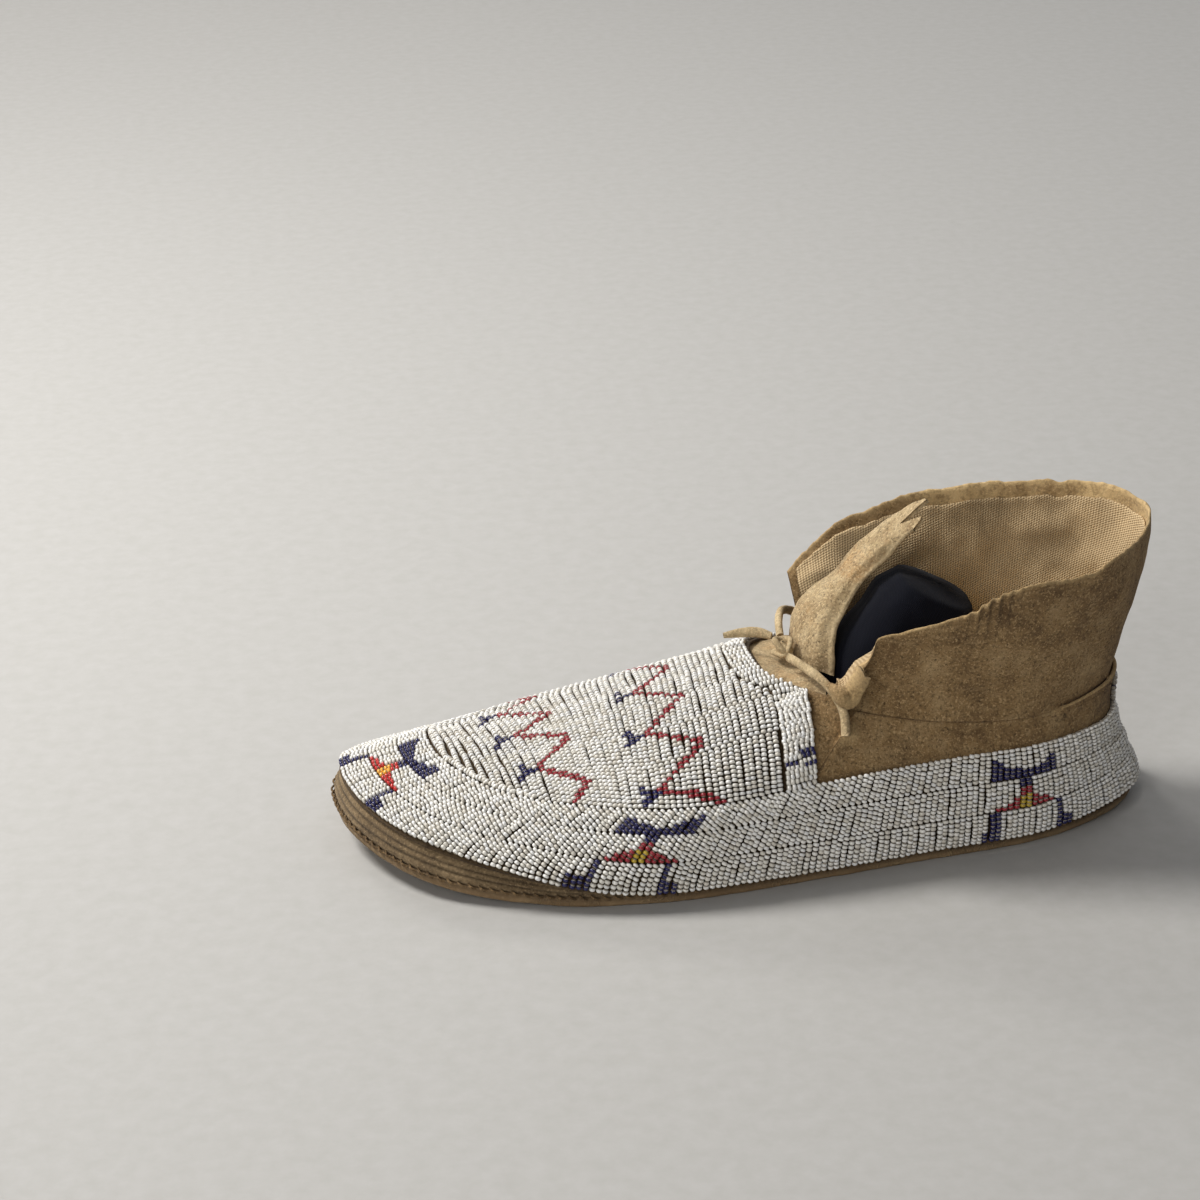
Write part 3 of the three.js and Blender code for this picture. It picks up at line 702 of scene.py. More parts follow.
class Beads:
    """Collects the beads of one piece, string by string."""

    def __init__(self):
        self.rows = []

    def string(self, line, normals, colour, hump=HUMP, count=None):
        """Threads beads along a line of surface points. colour(point, share) gives each bead's glass."""
        far = distances(line)
        length = far[-1]
        count = count or max(1, int(round(length / BEAD_LENGTH + rng.uniform(-STRING_COUNT, STRING_COUNT))))
        share = (np.arange(count) + 0.5) / count
        share = share + rng.normal(0, BEAD_SLIP, count) / count
        at = share * length
        centre = points_at(at, far, line)
        normal = unit(points_at(at, far, normals))
        axis = unit(points_at(at + 0.3, far, line) - points_at(at - 0.3, far, line))
        across = np.cross(axis, normal)
        stand = rng.normal(0, STRING_STAND)
        bow = rng.normal(0, STRING_BOW)
        arch = np.sin(np.pi * share)
        slope = np.pi * np.cos(np.pi * share) / max(length, 1)
        centre = centre + normal * (HIDE + 0.12 + BEAD_WIDTH / 2 + stand + hump * arch)[:, None]
        centre = centre + across * (bow * arch)[:, None] + rng.normal(0, BEAD_SHIFT, (count, 3))
        axis = unit(axis + normal * (hump * slope)[:, None] + across * (bow * slope)[:, None]
                    + rng.normal(0, BEAD_TILT, (count, 3)))
        width = BEAD_WIDTH * rng.normal(1, BEAD_UNLIKE, count) * rng.normal(1, STRING_WIDTH)
        thick = np.minimum(length / count * 0.98, LONGEST_BEAD) * rng.normal(0.97, BEAD_SHORT, count)
        for k in range(count):
            glass_kind = colour(centre[k], share[k])
            self.rows.append((centre[k], axis[k], normal[k], width[k], thick[k], glass_kind))

    def spots(self, template):
        """Every bead's points, in one array of beads x points x 3."""
        centre, axis, normal = (np.array([r[k] for r in self.rows]) for k in (0, 1, 2))
        width, thick = (np.array([r[k] for r in self.rows])[:, None, None] for k in (3, 4))
        side = unit(np.cross(axis, normal))
        rise = np.cross(side, axis)
        return (centre[:, None]
                + side[:, None] * (template[None, :, :1] * width / 2)
                + rise[:, None] * (template[None, :, 1:2] * width / 2)
                + axis[:, None] * (template[None, :, 2:] * thick))

    def shades(self, glasses, faces):
        """Each face's glass: one of the whites or colours, and on the flat ends a darker one, painted shade
        between the beads together with dust.
        """
        kind = np.array([r[5] for r in self.rows])
        white = kind == WHITE
        shade = np.where(white, 0, kind + WHITES - 1)
        shade[white] = rng.choice(WHITES, white.sum(), p=WHITE_SHARES)
        ends = np.array([k < BEAD_SIDES or k >= len(faces) - BEAD_SIDES - 2 for k in range(len(faces))])
        return np.where(ends[None], len(glasses) - 1, shade[:, None])

    def make(self, name, node, glasses):
        template, faces = bead_template()
        n = len(self.rows)
        corner = np.concatenate([np.array(f) for f in faces])
        sizes = np.array([len(f) for f in faces])
        mesh = bpy.data.meshes.new(name)
        mesh.vertices.add(n * len(template))
        mesh.vertices.foreach_set("co", ((self.spots(template) + CENTRE) / 1000).astype(np.float32).ravel())
        mesh.loops.add(n * len(corner))
        loops = (corner[None] + np.arange(n)[:, None] * len(template)).astype(np.int32)
        mesh.loops.foreach_set("vertex_index", loops.ravel())
        mesh.polygons.add(n * len(faces))
        starts = np.concatenate([[0], np.cumsum(np.tile(sizes, n))[:-1]]).astype(np.int32)
        mesh.polygons.foreach_set("loop_start", starts)
        for paint in glasses:
            mesh.materials.append(paint)
        mesh.polygons.foreach_set("material_index", self.shades(glasses, faces).astype(np.int32).ravel())
        mesh.polygons.foreach_set("use_smooth", np.ones(n * len(faces), bool))
        mesh.update()
        mesh.validate()
        place(name, mesh, "shoe", node, "beads")


WHITE_GLASS = [(236, 233, 226), (226, 222, 212), (241, 239, 234), (214, 208, 196), (230, 229, 226)]
WHITES = len(WHITE_GLASS)
WHITE_SHARES = [0.3, 0.24, 0.2, 0.1, 0.16]


def make_glasses():
    whites = [glass(f"white_bead_{k + 1}", rgb) for k, rgb in enumerate(WHITE_GLASS)]
    colours = [("navy", (24, 22, 78)), ("red", (150, 38, 48)), ("mustard", (186, 158, 48)),
               ("orange", (240, 176, 62)), ("bright_red", (196, 44, 40))]
    # Darker glass for the bead ends: painted shade in the gaps between beads, with some dust.
    end_shade = [glass("dust_and_shade_between_beads", (172, 164, 150), 0.6)]
    return whites + [glass(f"{name}_bead", rgb, 0.22) for name, rgb in colours] + end_shade


# Middle of each sewn figure: X and side of the four on the border, and the share round the foot of
# the one at the toe.
FIGURES = [(-36.5, -1), (84.0, -1), (-36.5, 1), (84.0, 1)]
TOE_FIGURE = 0.038


def figure_glass(side, height, body, heart):
    """Standing figure in three lanes: side is strings from its middle, height is lanes up."""
    wide = abs(side)
    if 2.03 < height < 2.2 + 0.082 * wide and wide < 6:
        return NAVY
    if wide < 1:
        if 1.78 < height <= 2.2:
            return NAVY
        if 1.45 < height <= 1.78:
            return body
        if 1.0 < height <= 1.45:
            return heart
    if 1.0 < height < 1.52 - 0.082 * wide and wide < 6:
        return body
    if height <= 1.0 and (5 < wide < 6 or (6 <= wide < 8 and height < 0.42)):
        return NAVY
    return WHITE


def border_positions(low, high, distance):
    """Shares round the foot, evenly spaced at that height."""
    s = np.linspace(low, high, 1200)
    line = upper_point(s, climb(s, np.full_like(s, distance)))
    far = distances(line)
    count = int(far[-1] / STRING_PITCH)
    at = (np.arange(count) + 0.5) * far[-1] / count
    at = at + rng.normal(0, 0.08, count)
    return np.interp(at, far, s)


def arc_table():
    """Distance along the sole seam, against s, for counting strings from a figure's middle."""
    s = np.linspace(-0.1, 1.1, 3000)
    line = upper_point(s, climb(s, np.full_like(s, 1.5 * LANE)))
    return s, distances(line), line


def border_figures():
    s, far, line = arc_table()
    middles = [(np.interp(TOE_FIGURE, s, far), BRIGHT, ORANGE)]
    for x, away in FIGURES:
        half = (s > 0) & (s < 0.5) if away < 0 else (s > 0.5) & (s < 1)
        k = np.flatnonzero(half)[np.argmin(np.abs(line[half, 0] - x))]
        middles.append((far[k], RED, MUSTARD))

    def glass_at(share, height):
        here = np.interp(share, s, far)
        turn = np.interp(1, s, far) - np.interp(0, s, far)
        for middle, body, heart in middles:
            side = (here - middle + turn / 2) % turn - turn / 2
            side = math.floor(side / STRING_PITCH) + 0.5
            if abs(side) < 8:
                kind = figure_glass(side, height, body, heart)
                if kind != WHITE:
                    return kind
        return WHITE

    return glass_at


def make_border(glasses):
    glass_at = border_figures()
    for side, low, high in (("outer", 0.0, HEEL), ("inner", HEEL, 1.0)):
        for row in range(3):
            beads = Beads()
            base = 0.3 + row * (LANE + GAP)
            shares = border_positions(low, high, base + LANE / 2)
            steps = np.linspace(0, 1, 7)
            distance = base + steps * LANE
            s = np.repeat(shares[:, None], len(steps), 1)
            line, normal = upper(s, climb(s, distance[None] + 0 * s))
            for k, share in enumerate(shares):
                beads.string(line[k], normal[k],
                             lambda p, t, share=share, row=row: glass_at(share, row + t))
            beads.make(f"beads_border_{side}_{row + 1}", f"border_{side}_{row + 1}", glasses)


# ---- The vamp in plan -----------------------------------------------------------------------------
HALF_ROUND = 120


def contour(distance):
    """Line round the upper, that far up from the sole seam, in twice HALF_ROUND points."""
    s = np.arange(2 * HALF_ROUND) / (2 * HALF_ROUND)
    return upper_point(s, climb(s, np.full_like(s, distance)))


BORDER_LINE = contour(BORDER_TOP + 0.2)


def foot_axis(x):
    return mix(4, 15, clamp01((4 - x) / 131))


def border_side(x, away):
    outer, inner = BORDER_LINE[:HALF_ROUND + 1], np.vstack([BORDER_LINE[HALF_ROUND:], BORDER_LINE[:1]])
    half = outer if away < 0 else inner[::-1]
    return np.interp(x, half[:, 0], half[:, 1])


def throat_front(y):
    front = catmull(MOUTH, np.linspace(-4 / RAYS, 4 / RAYS, 160), True)
    order = np.argsort(front[:, 1])
    return np.interp(y, front[order, 1], front[order, 0]) - 0.6


def find_on_vamp(x, y):
    """(s, v) of the points of the upper over these floor points."""
    gs, gv = np.meshgrid(np.linspace(0, 1, 180, endpoint=False), np.linspace(0.12, 1, 34), indexing="ij")
    gs, gv = gs.ravel(), gv.ravel()
    spots = upper_point(gs, gv)
    s, v = np.empty(x.shape), np.empty(x.shape)
    for k in np.ndindex(x.shape[0]):
        d = (spots[None, :, 0] - x[k][..., None]) ** 2 + (spots[None, :, 1] - y[k][..., None]) ** 2
        best = d.argmin(-1)
        s[k], v[k] = gs[best], gv[best]
    for _ in range(8):
        p = upper_point(s, v)
        ds = (upper_point(s + 1e-4, v) - p) / 1e-4
        dv = (upper_point(s, v - 1e-4) - p) / -1e-4
        ex, ey = x - p[..., 0], y - p[..., 1]
        det = ds[..., 0] * dv[..., 1] - ds[..., 1] * dv[..., 0]
        det = np.where(np.abs(det) < 1e-3, 1e-3, det)
        s = s + np.clip((ex * dv[..., 1] - ey * dv[..., 0]) / det, -0.02, 0.02)
        v = np.clip(v + np.clip((ds[..., 0] * ey - ds[..., 1] * ex) / det, -0.1, 0.1), 0, 1)
    return s, v


# Red zigzags across the vamp, and the navy feet that stand on their toe-side corners.
ZIGZAGS = [
    [(-57.6, -38.4), (-50.3, -32.7), (-64.5, -23.0), (-54.5, -14.6), (-70.5, -7.0), (-59.0, -1.0),
     (-74.5, 7.5), (-63.0, 13.5), (-76.0, 21.5), (-66.0, 28.0)],
    [(-12.0, -45.0), (-29.9, -41.5), (-16.0, -31.5), (-31.6, -23.6), (-19.6, -12.4), (-33.0, -4.7),
     (-21.5, 5.0), (-33.5, 13.5), (-22.5, 22.0), (-34.0, 30.0), (-23.0, 38.0)],
]
FEET = [(-29.9, -41.5), (-31.6, -23.6), (-33.0, -4.7), (-33.5, 13.5), (-34.0, 30.0),
        (-64.5, -23.0), (-70.5, -7.0), (-74.5, 7.5), (-76.0, 21.5)]


# A bead is wider across its string than along it, so distances are taken in bead widths.
BEAD_SHAPE = BEAD_LENGTH / STRING_PITCH


def segment_distance(x, y, a, b):
    ax, ay = a[0] * BEAD_SHAPE, a[1]
    dx, dy = b[0] * BEAD_SHAPE - ax, b[1] - ay
    x = x * BEAD_SHAPE
    t = min(1.0, max(0.0, ((x - ax) * dx + (y - ay) * dy) / (dx * dx + dy * dy)))
    return math.hypot(x - ax - t * dx, y - ay - t * dy)


def vamp_glass(point, _share=0.0):
    x, y = point[0], point[1]
    for fx, fy in FEET:
        if fx - 8 < x < fx + 1 and abs(y - fy) < 5:
            near = min(segment_distance(x, y, (fx - 1.0, fy), (fx - 3.2, fy)),
                       segment_distance(x, y, (fx - 3.2, fy), (fx - 5.6, fy + 2.3)),
                       segment_distance(x, y, (fx - 3.2, fy), (fx - 5.4, fy - 2.2)))
            if near < 0.72:
                return NAVY
    for line in ZIGZAGS:
        for a, b in zip(line, line[1:]):
            if segment_distance(x, y, a, b) < 0.66:
                return RED
    return WHITE


def lane_edge(x, y):
    """Side to side waver of the lane boundaries."""
    return 0.55 * lumps(np.stack([x, y, 0 * x], -1), 9, 101, 2)


def cross_string(x0, share, high_of):
    """Plan line of one string across part of the vamp, cut where the throat's strings begin."""
    y = mix(border_side(x0, -1), border_side(x0, 1), share)
    skew = mix(0.06, 0.40, clamp01((-30 - x0) / 60))
    x = x0 + skew * np.abs(y - foot_axis(x0)) * mix(0.4, 1.0, clamp01((-20 - x0) / 50))
    x = x + 0.35 * lumps(np.stack([x, y, 0 * x], -1), 14, 103)
    y = np.array([mix(border_side(a, -1), border_side(a, 1), b) for a, b in zip(x, share)])
    y = y + lane_edge(x, y) * ((share > 0.01) & (share < 0.99))
    keep = x <= high_of(y)
    if keep.sum() < 2 or np.hypot(np.diff(x[keep]), np.diff(y[keep])).sum() < 2.2:
        return None
    t = np.linspace(0, 1, 5)
    own = np.linspace(0, 1, keep.sum())
    return np.interp(t, own, x[keep]), np.interp(t, own, y[keep])


def string_places(share, low, high):
    """X of the strings along a lengthwise line of the vamp, evenly spaced on its surface."""
    x = np.linspace(low, high, 90)
    s, v = find_on_vamp(x[None], mix(border_side(x, -1), border_side(x, 1), share)[None])
    line = upper_point(s, v)[0]
    far = np.concatenate([[0], np.cumsum(np.hypot(np.diff(line[:, 0]), np.diff(line[:, 2])))])
    at = np.arange(0.5, far[-1] / STRING_PITCH) * STRING_PITCH
    return np.interp(at + rng.normal(0, 0.05, len(at)), far, x)


def lane_strings(lane, lanes, low, high, high_of):
    """Strings across one lengthwise lane out of that many, between two X."""
    lines = []
    for x0 in string_places((lane + 0.5) / lanes, low, high):
        line = cross_string(x0, (lane + np.linspace(0.0, 1.0, 13)) / lanes, high_of)
        if line is not None:
            lines.append(line)
    return lines


def throat_rows(lane):
    """Short lengthwise strings between the lanes' ends and the throat."""
    lines = []
    for y in np.arange(-24.5, 24.5, STRING_PITCH):
        sides = mix(border_side(0, -1), border_side(0, 1), np.array([lane, lane + 1]) / LANES)
        if sides[0] <= y < sides[1]:
            front = min(float(throat_front(y)), THROAT_END)
            start = min(front - THROAT_STRIP, TAB_FROM - 0.6)
            if front - start > 2:
                lines.append((np.linspace(start, front - 0.1, 5), np.full(5, y)))
    return lines


VAMP_END = 12.0       # X of the last place for a cross string
THROAT_STRIP = 7.2    # length of the strings beside the throat
THROAT_END = 15.0     # and how far back they reach
TOE_PARTS = 5         # lanes of the toe, where the vamp's run together


def make_vamp(glasses):
    def end(y):
        return np.minimum(TAB_FROM - 0.4, throat_front(y) - THROAT_STRIP - 0.4)

    lanes = [lane_strings(lane, LANES, TOE_FAN, VAMP_END, end) for lane in range(LANES)]
    for lane, lines in enumerate(lanes):
        beads = Beads()
        thread(beads, lines, vamp_glass)
        thread(beads, throat_rows(lane), vamp_glass)
        beads.make(f"beads_vamp_{lane + 1}", f"vamp_lane_{lane + 1}", glasses)
    beads = Beads()
    tip = float(BORDER_LINE[:, 0].min()) + 0.3
    toe = [lane_strings(part, TOE_PARTS, tip, TOE_FAN, end) for part in range(TOE_PARTS)]
    thread(beads, sum(toe, []), vamp_glass)
    # Strings that follow the border round the toe, where the cross strings fall away from it.
    for start in np.arange(-0.062, 0.125, 0.011):
        s = start + np.linspace(0, 0.0105, 5)
        line, normal = upper(s, climb(s, np.full(5, BORDER_TOP + 1.3)))
        beads.string(line, normal, vamp_glass, hump=0.2)
    beads.make("beads_toe_fan", "toe_fan", glasses)


def thread(beads, lines, glass_of):
    """Threads a string of beads on each plan line."""
    if not lines:
        return
    x, y = (np.array([line[k] for line in lines]) for k in (0, 1))
    points, normals = upper(*find_on_vamp(x, y))
    for line, normal in zip(points, normals):
        beads.string(line, normal, glass_of, hump=0.35)


TAB_NAVY = {4: (0.5, 1.0), 5: (0.0, 0.45), 6: (0.55, 1.0), 7: (0.55, 1.0)}    # row: share of the string


def make_tabs(glasses):
    """Short strings that run lengthwise down each corner of the throat."""
    for side, span in (("outer", np.linspace(0.2, 0.3, 400)), ("inner", np.linspace(0.7, 0.8, 400))):
        beads = Beads()
        row = 0
        distance = BORDER_TOP + 1.0
        while True:
            line = upper_point(span, climb(span, np.full_like(span, distance)))
            inside = (line[:, 0] > TAB_FROM - 0.2) & (line[:, 0] < TAB_TO - 0.5)
            inside &= ray_length(span) - 1.6 > distance
            if inside.sum() < 12:
                break
            slide = rng.uniform(-0.0004, 0.0004)
            s = np.linspace(span[inside][0], span[inside][-1], 6) + slide
            p, n = upper(s, climb(s, np.full_like(s, distance)))
            low, high = TAB_NAVY.get(row, (2, 3))
            if side == "inner":
                low, high = 1 - high, 1 - low
            count = int(rng.integers(6, 8))
            beads.string(p, n, lambda q, t: NAVY if low <= t <= high else WHITE, hump=0.3, count=count)
            row += 1
            distance += STRING_PITCH
        beads.make(f"beads_tab_{side}", f"throat_tab_{side}", glasses)


HEEL_NAVY_ROWS = (2, 5)


def make_heel_strip(glasses):
    """Short strings across the heel seam, from the border up to the collar."""
    beads = Beads()
    low, high = BORDER_TOP + 1.2, float(ray_length(np.array([HEEL]))[0]) - 3.6
    for row, distance in enumerate(np.arange(low, high, STRING_PITCH)):
        s = HEEL + np.linspace(-HEEL_STRIP, HEEL_STRIP, 5)
        p, n = upper(s, climb(s, np.full(5, distance)))
        dark = row in HEEL_NAVY_ROWS
        beads.string(p, n, lambda q, t: NAVY if dark and abs(t - 0.5) > 0.2 else WHITE, hump=0.25)
    beads.make("beads_heel_strip", "heel_strip", glasses)


# ---- Hides ------------------------------------------------------------------------------------------
def make_vamp_hide(brown):
    s = np.linspace(THROAT_INNER - 1 + 0.0012, THROAT_OUTER - 0.0012, 170)
    v = np.linspace(0, 1, 30)
    size = (len(s), len(v))
    face, normal = upper(s[:, None], v[None], np.full(size, HIDE))
    loops = sheet_loops(face, normal, np.full(size, HIDE))
    # Painted shade: the hide is darkened where it lies under the beads.
    shade_under_beads = 0.8 * (loops[..., 0] < TAB_TO - 1.5)
    sweep("hide_vamp", loops, brown, "shoe", "vamp_hide", "hide_brown",
          layers={"wear": np.zeros(loops.shape[:2]), "dirt_and_shade": shade_under_beads})


COLLAR_START = 0.12          # share of the collar's curve where its outer face begins
COLLAR_FRONT = 4.2 / RAYS    # the hide's own front edge, folded over the corner of the throat
QUARTER_ROWS, COLLAR_ROWS = 18, 54


def front_share(s):
    """1 where quarter and collar are one smooth face, 0 where the seam steps, round the heel."""
    return clamp01((98 - catmull(MOUTH, s, True)[:, 0]) / 16)


def collar_shares():
    return COLLAR_START + (1 - COLLAR_START) * np.linspace(0, 1, COLLAR_ROWS) ** 1.1


def skin(s, front):
    """Outer face of quarter and collar, one line of points per s: smooth where front is 1."""
    v_low = climb(s, np.full_like(s, BORDER_TOP - 3))
    share = np.linspace(0, 1, QUARTER_ROWS)
    share[-2] = 0.994
    v = v_low[:, None] + (1 - v_low[:, None]) * share[None]
    quarter, quarter_normal = upper(np.repeat(s[:, None], QUARTER_ROWS, 1), v, np.full(v.shape, HIDE))
    inside = np.clip(s, COLLAR_FROM + 0.0005, COLLAR_TO - 0.0005)
    q = collar_shares()
    q[1] = q[0] + 0.003
    q = q[None] + np.zeros((len(s), 1))
    inside = np.repeat(inside[:, None], COLLAR_ROWS, 1)
    collar, collar_normal = collar_point(inside, q, np.full(q.shape, HIDE))
    behind = upper(s, np.ones_like(s), np.full_like(s, -0.5))[0]
    start = mix(behind, quarter[:, -1], front[:, None])
    reach = collar_reach(collar)
    collar = collar + (start - collar[:, 0])[:, None] * (1 - smooth01(reach / 30))[..., None]
    line = np.concatenate([quarter, collar], 1)
    normal = np.concatenate([quarter_normal, collar_normal], 1)
    near = np.abs(np.arange(line.shape[1]) - QUARTER_ROWS + 0.5) < 11
    keep = near[None, 1:-1, None]
    for _ in range(50):
        middle = (line[:, 2:] + line[:, :-2]) / 2
        eased = mix(line[:, 1:-1], middle, (front * 0.5)[:, None, None])
        line[:, 1:-1] = np.where(keep, eased, line[:, 1:-1])
    fresh = unit(np.cross(np.gradient(line, axis=0), np.gradient(line, axis=1)))
    return line, unit(mix(normal, fresh, front[:, None, None]))


def collar_reach(lines):
    """Distance of each point along its own line, for many lines at once."""
    steps = np.linalg.norm(np.diff(lines, axis=1), axis=-1)
    return np.cumsum(np.concatenate([np.zeros((len(lines), 1)), steps], 1), 1)


# X along the outer rim, and how far the hand-cut edge stands above the smooth one.
RIM_RISE = [
    (18, -1.0), (23, -2.2), (28, -2.6), (31, 0.6), (36, 0.2), (43, -1.6), (54, -0.8), (62, 0.2),
    (66, 0.6), (69, 2.2), (79, 2.8), (90, 1.1), (102, -0.3), (109, 2.4), (125, 0),
]


def make_flap(rim, out, brown):
    """Front corner of the collar, turned over to the outside."""
    corner = np.flatnonzero((rim[:, 0] > 20.5) & (rim[:, 0] < 31.5) & (rim[:, 1] < 0))
    root = resample(rim[corner], 22)[:, None]
    out = unit(resample(out[corner], 22))[:, None]
    a, t = np.linspace(0, 1, 22)[:, None], np.linspace(0, 1, 14)[None]
    drop = (0.8 + 3.2 * np.sin(np.pi * (0.15 + 0.8 * a)) ** 1.2) * t ** 1.3
    lift = 1.5 * np.sin(np.pi * clamp01(t * 1.4)) - 0.3
    face = root + out * (0.6 + 3.3 * np.sin(np.pi * 0.62 * t) + 0 * a)[..., None]
    face = face + np.stack([2.4 * t ** 1.2 * (1 - 0.6 * a), 0 * a * t, lift - drop], -1)
    normal = unit(np.cross(np.gradient(face, axis=0), np.gradient(face, axis=1)))
    face = face + normal * (lumps(face, 4, 131, 2) * 0.5)[..., None]
    loops = sheet_loops(face, normal, np.full(face.shape[:2], HIDE * 0.9))
    wear = clamp01(0.35 + 0.35 * lumps(loops, 3, 132))
    sweep("collar_flap", loops, brown, "shoe", None, "hide_brown", layers={"wear": wear, "dirt_and_shade": 0 * wear})


TIE_SLIT = np.array([28.0, -32.5, 43.0])    # where the outer strand goes in, its rim swollen and pale
LAP = 0.006                                 # share round the foot that tapers to the quarter's front edge
LAP_UNDER, LAP_OVER = 0.12, 0.85            # how far the front edge stands out under the beads and above


def make_quarter(side, low, high, brown):
    """One side of the heel, from the sole seam up to the collar, its front edge lapped on the vamp."""
    outer = side == "outer"
    ends = (low - 0.003, high - 0.0008) if outer else (low + 0.0008, high + 0.003)
    s = np.linspace(*ends, 190)
    lap = smooth01(clamp01((low + LAP - s if outer else s - high + LAP) / LAP))
    front = front_share(s)
    line, normal = skin(s, smooth01(front))
    below = climb(s, np.full_like(s, BORDER_TOP - 3))[:, None] * np.linspace(0, 0.97, 9)[None]
    low_face, low_norm = upper(s[:, None] + 0 * below, below, np.full(below.shape, HIDE))
    face = np.concatenate([low_face, line[:, :QUARTER_ROWS]], 1)
    norm = np.concatenate([low_norm, normal[:, :QUARTER_ROWS]], 1)
    rows = face.shape[1]
    uneven = lumps(face, 9, 3, 2) * 0.35 + lumps(face, 3, 4) * 0.12
    fade = smooth01(np.linspace(1, 0, rows) / 0.3)[None] * smooth01(np.linspace(-1, 1.5, rows))
    face += norm * (uneven * fade)[..., None]
    face += norm * (lap[:, None] * mix(LAP_UNDER, LAP_OVER, clamp01(np.arange(rows) / 3 - 4)))[..., None]
    slit = np.exp(-(np.linalg.norm((face - TIE_SLIT) * [1, 0.6, 1.5], axis=-1) / 3.6) ** 2)
    face += norm * (1.1 * slit)[..., None]
    thickness = np.full(face.shape[:2], HIDE)
    thickness[:, -3:] = mix(HIDE, 0.8, front[:, None] * np.array([0.3, 0.7, 1.0])[None])
    wear = slit * clamp01(0.9 + 0.6 * lumps(face, 1.8, 9))
    wear[:, -1] += 0.5 * (1 - front)
    # Painted shade on the rows under the border beads, fading out near the border's top.
    dirt_and_shade = np.zeros(face.shape[:2])
    dirt_and_shade[:, :10] = 0.8
    dirt_and_shade[:, 10:12] = 0.35
    sweep(f"hide_quarter_{side}", sheet_loops(face, norm, thickness), brown, "shoe", f"quarter_{side}",
          "hide_brown", layers={"wear": spread(wear), "dirt_and_shade": spread(dirt_and_shade)})


def collar_face(s, front):
    """The collar's smooth outer face, with three rows tucked down behind the quarter."""
    inside = np.clip(s, THROAT_OUTER, THROAT_INNER)
    line, normal = skin(inside, smooth01(front))
    own, own_normal = collar_point(np.repeat(s[:, None], COLLAR_ROWS, 1),
                                   collar_shares()[None] + np.zeros((len(s), 1)),
                                   np.full((len(s), COLLAR_ROWS), HIDE))
    face, norm = line[:, QUARTER_ROWS:].copy(), normal[:, QUARTER_ROWS:].copy()
    first, last = np.flatnonzero(s == inside)[[0, -1]]
    for ends, shift in ((slice(0, first), face[first] - own[first]),
                        (slice(last + 1, None), face[last] - own[last])):
        face[ends] = own[ends] + shift
        norm[ends] = own_normal[ends]
    down = unit(face[:, :1] - face[:, 1:2])
    deep = mix(0.25, 1.0, front)[:, None, None]
    tuck = [face[:, :1] + down * d - norm[:, :1] * t * deep for d, t in ((4.2, 1.7), (2.2, 1.5), (0.8, 1.0))]
    return np.concatenate(tuck + [face], 1), np.concatenate([norm[:, :1]] * 3 + [norm], 1)


def cut_rim(face, rim, t):
    """Rim cut uneven by hand on the outer side, ragged round the heel and inner side."""
    outer = rim[:, 1] < 0
    rise = np.where(outer, np.interp(rim[:, 0], *zip(*RIM_RISE)), 0)
    rise = rise + lumps(rim, 7, 11, 2) * np.where(outer, 0.5, 0.9)
    rise = rise + lumps(rim, 1.5, 12) * np.where(outer & (rim[:, 0] < 60), 0.1, 0.3)
    face[..., 2] += rise[:, None] * smooth01((t - 0.72) / 0.28)


GATHER_X, GATHER_PITCH = 69, 3.1    # middle of the gathers under the step in the rim, and their spacing


def wave_collar(face, norm, rim, t):
    """Long soft waves, gathers under the step in the rim, and the nap's unevenness; gives back painted shade
    for the gathers' troughs.
    """
    wave = lumps(face, 30, 21) * 1.6 * smooth01(t / 0.5) + lumps(face, 9, 22, 2) * 0.4
    wave = wave + lumps(face, 3, 23) * 0.12
    x = rim[:, 0:1]
    gather = smooth01(1 - np.abs(x - GATHER_X) / 13) * smooth01((t - 0.7) / 0.3) * (rim[:, 1:2] < 0)
    ripple = np.sin(x * 2 * np.pi / GATHER_PITCH)
    face += norm * ((wave + gather * 0.6 * ripple) * smooth01(t / 0.12))[..., None]
    # Painted shade in the troughs of the gathers.
    return 0.35 * gather * (ripple < 0)


def fold_corner(face, s):
    """Front outer corner folded out over itself."""
    share = smooth01(1 - (s[:, None] - COLLAR_FROM) / 0.016)
    share = share * smooth01((s[:, None] - COLLAR_FRONT) / 0.02 + 0.2)
    height = np.linalg.norm(face - face[:, -1:], axis=-1)
    over = clamp01(1 - height / 7.0) * share
    bend = over * 2.6
    pivot = face.copy()
    pivot[..., 2] = face[..., 2] - over * 7.0
    out = outward(s)[:, None] * np.ones_like(face)
    up = np.array([0, 0, 1.0]) * ((1 - np.cos(bend)) * -0.6 + over * 3.4)[..., None]
    moved = pivot + out * (np.sin(bend) * 3.0)[..., None] + up
    return mix(face, moved, (over > 0)[..., None] * 1.0), share


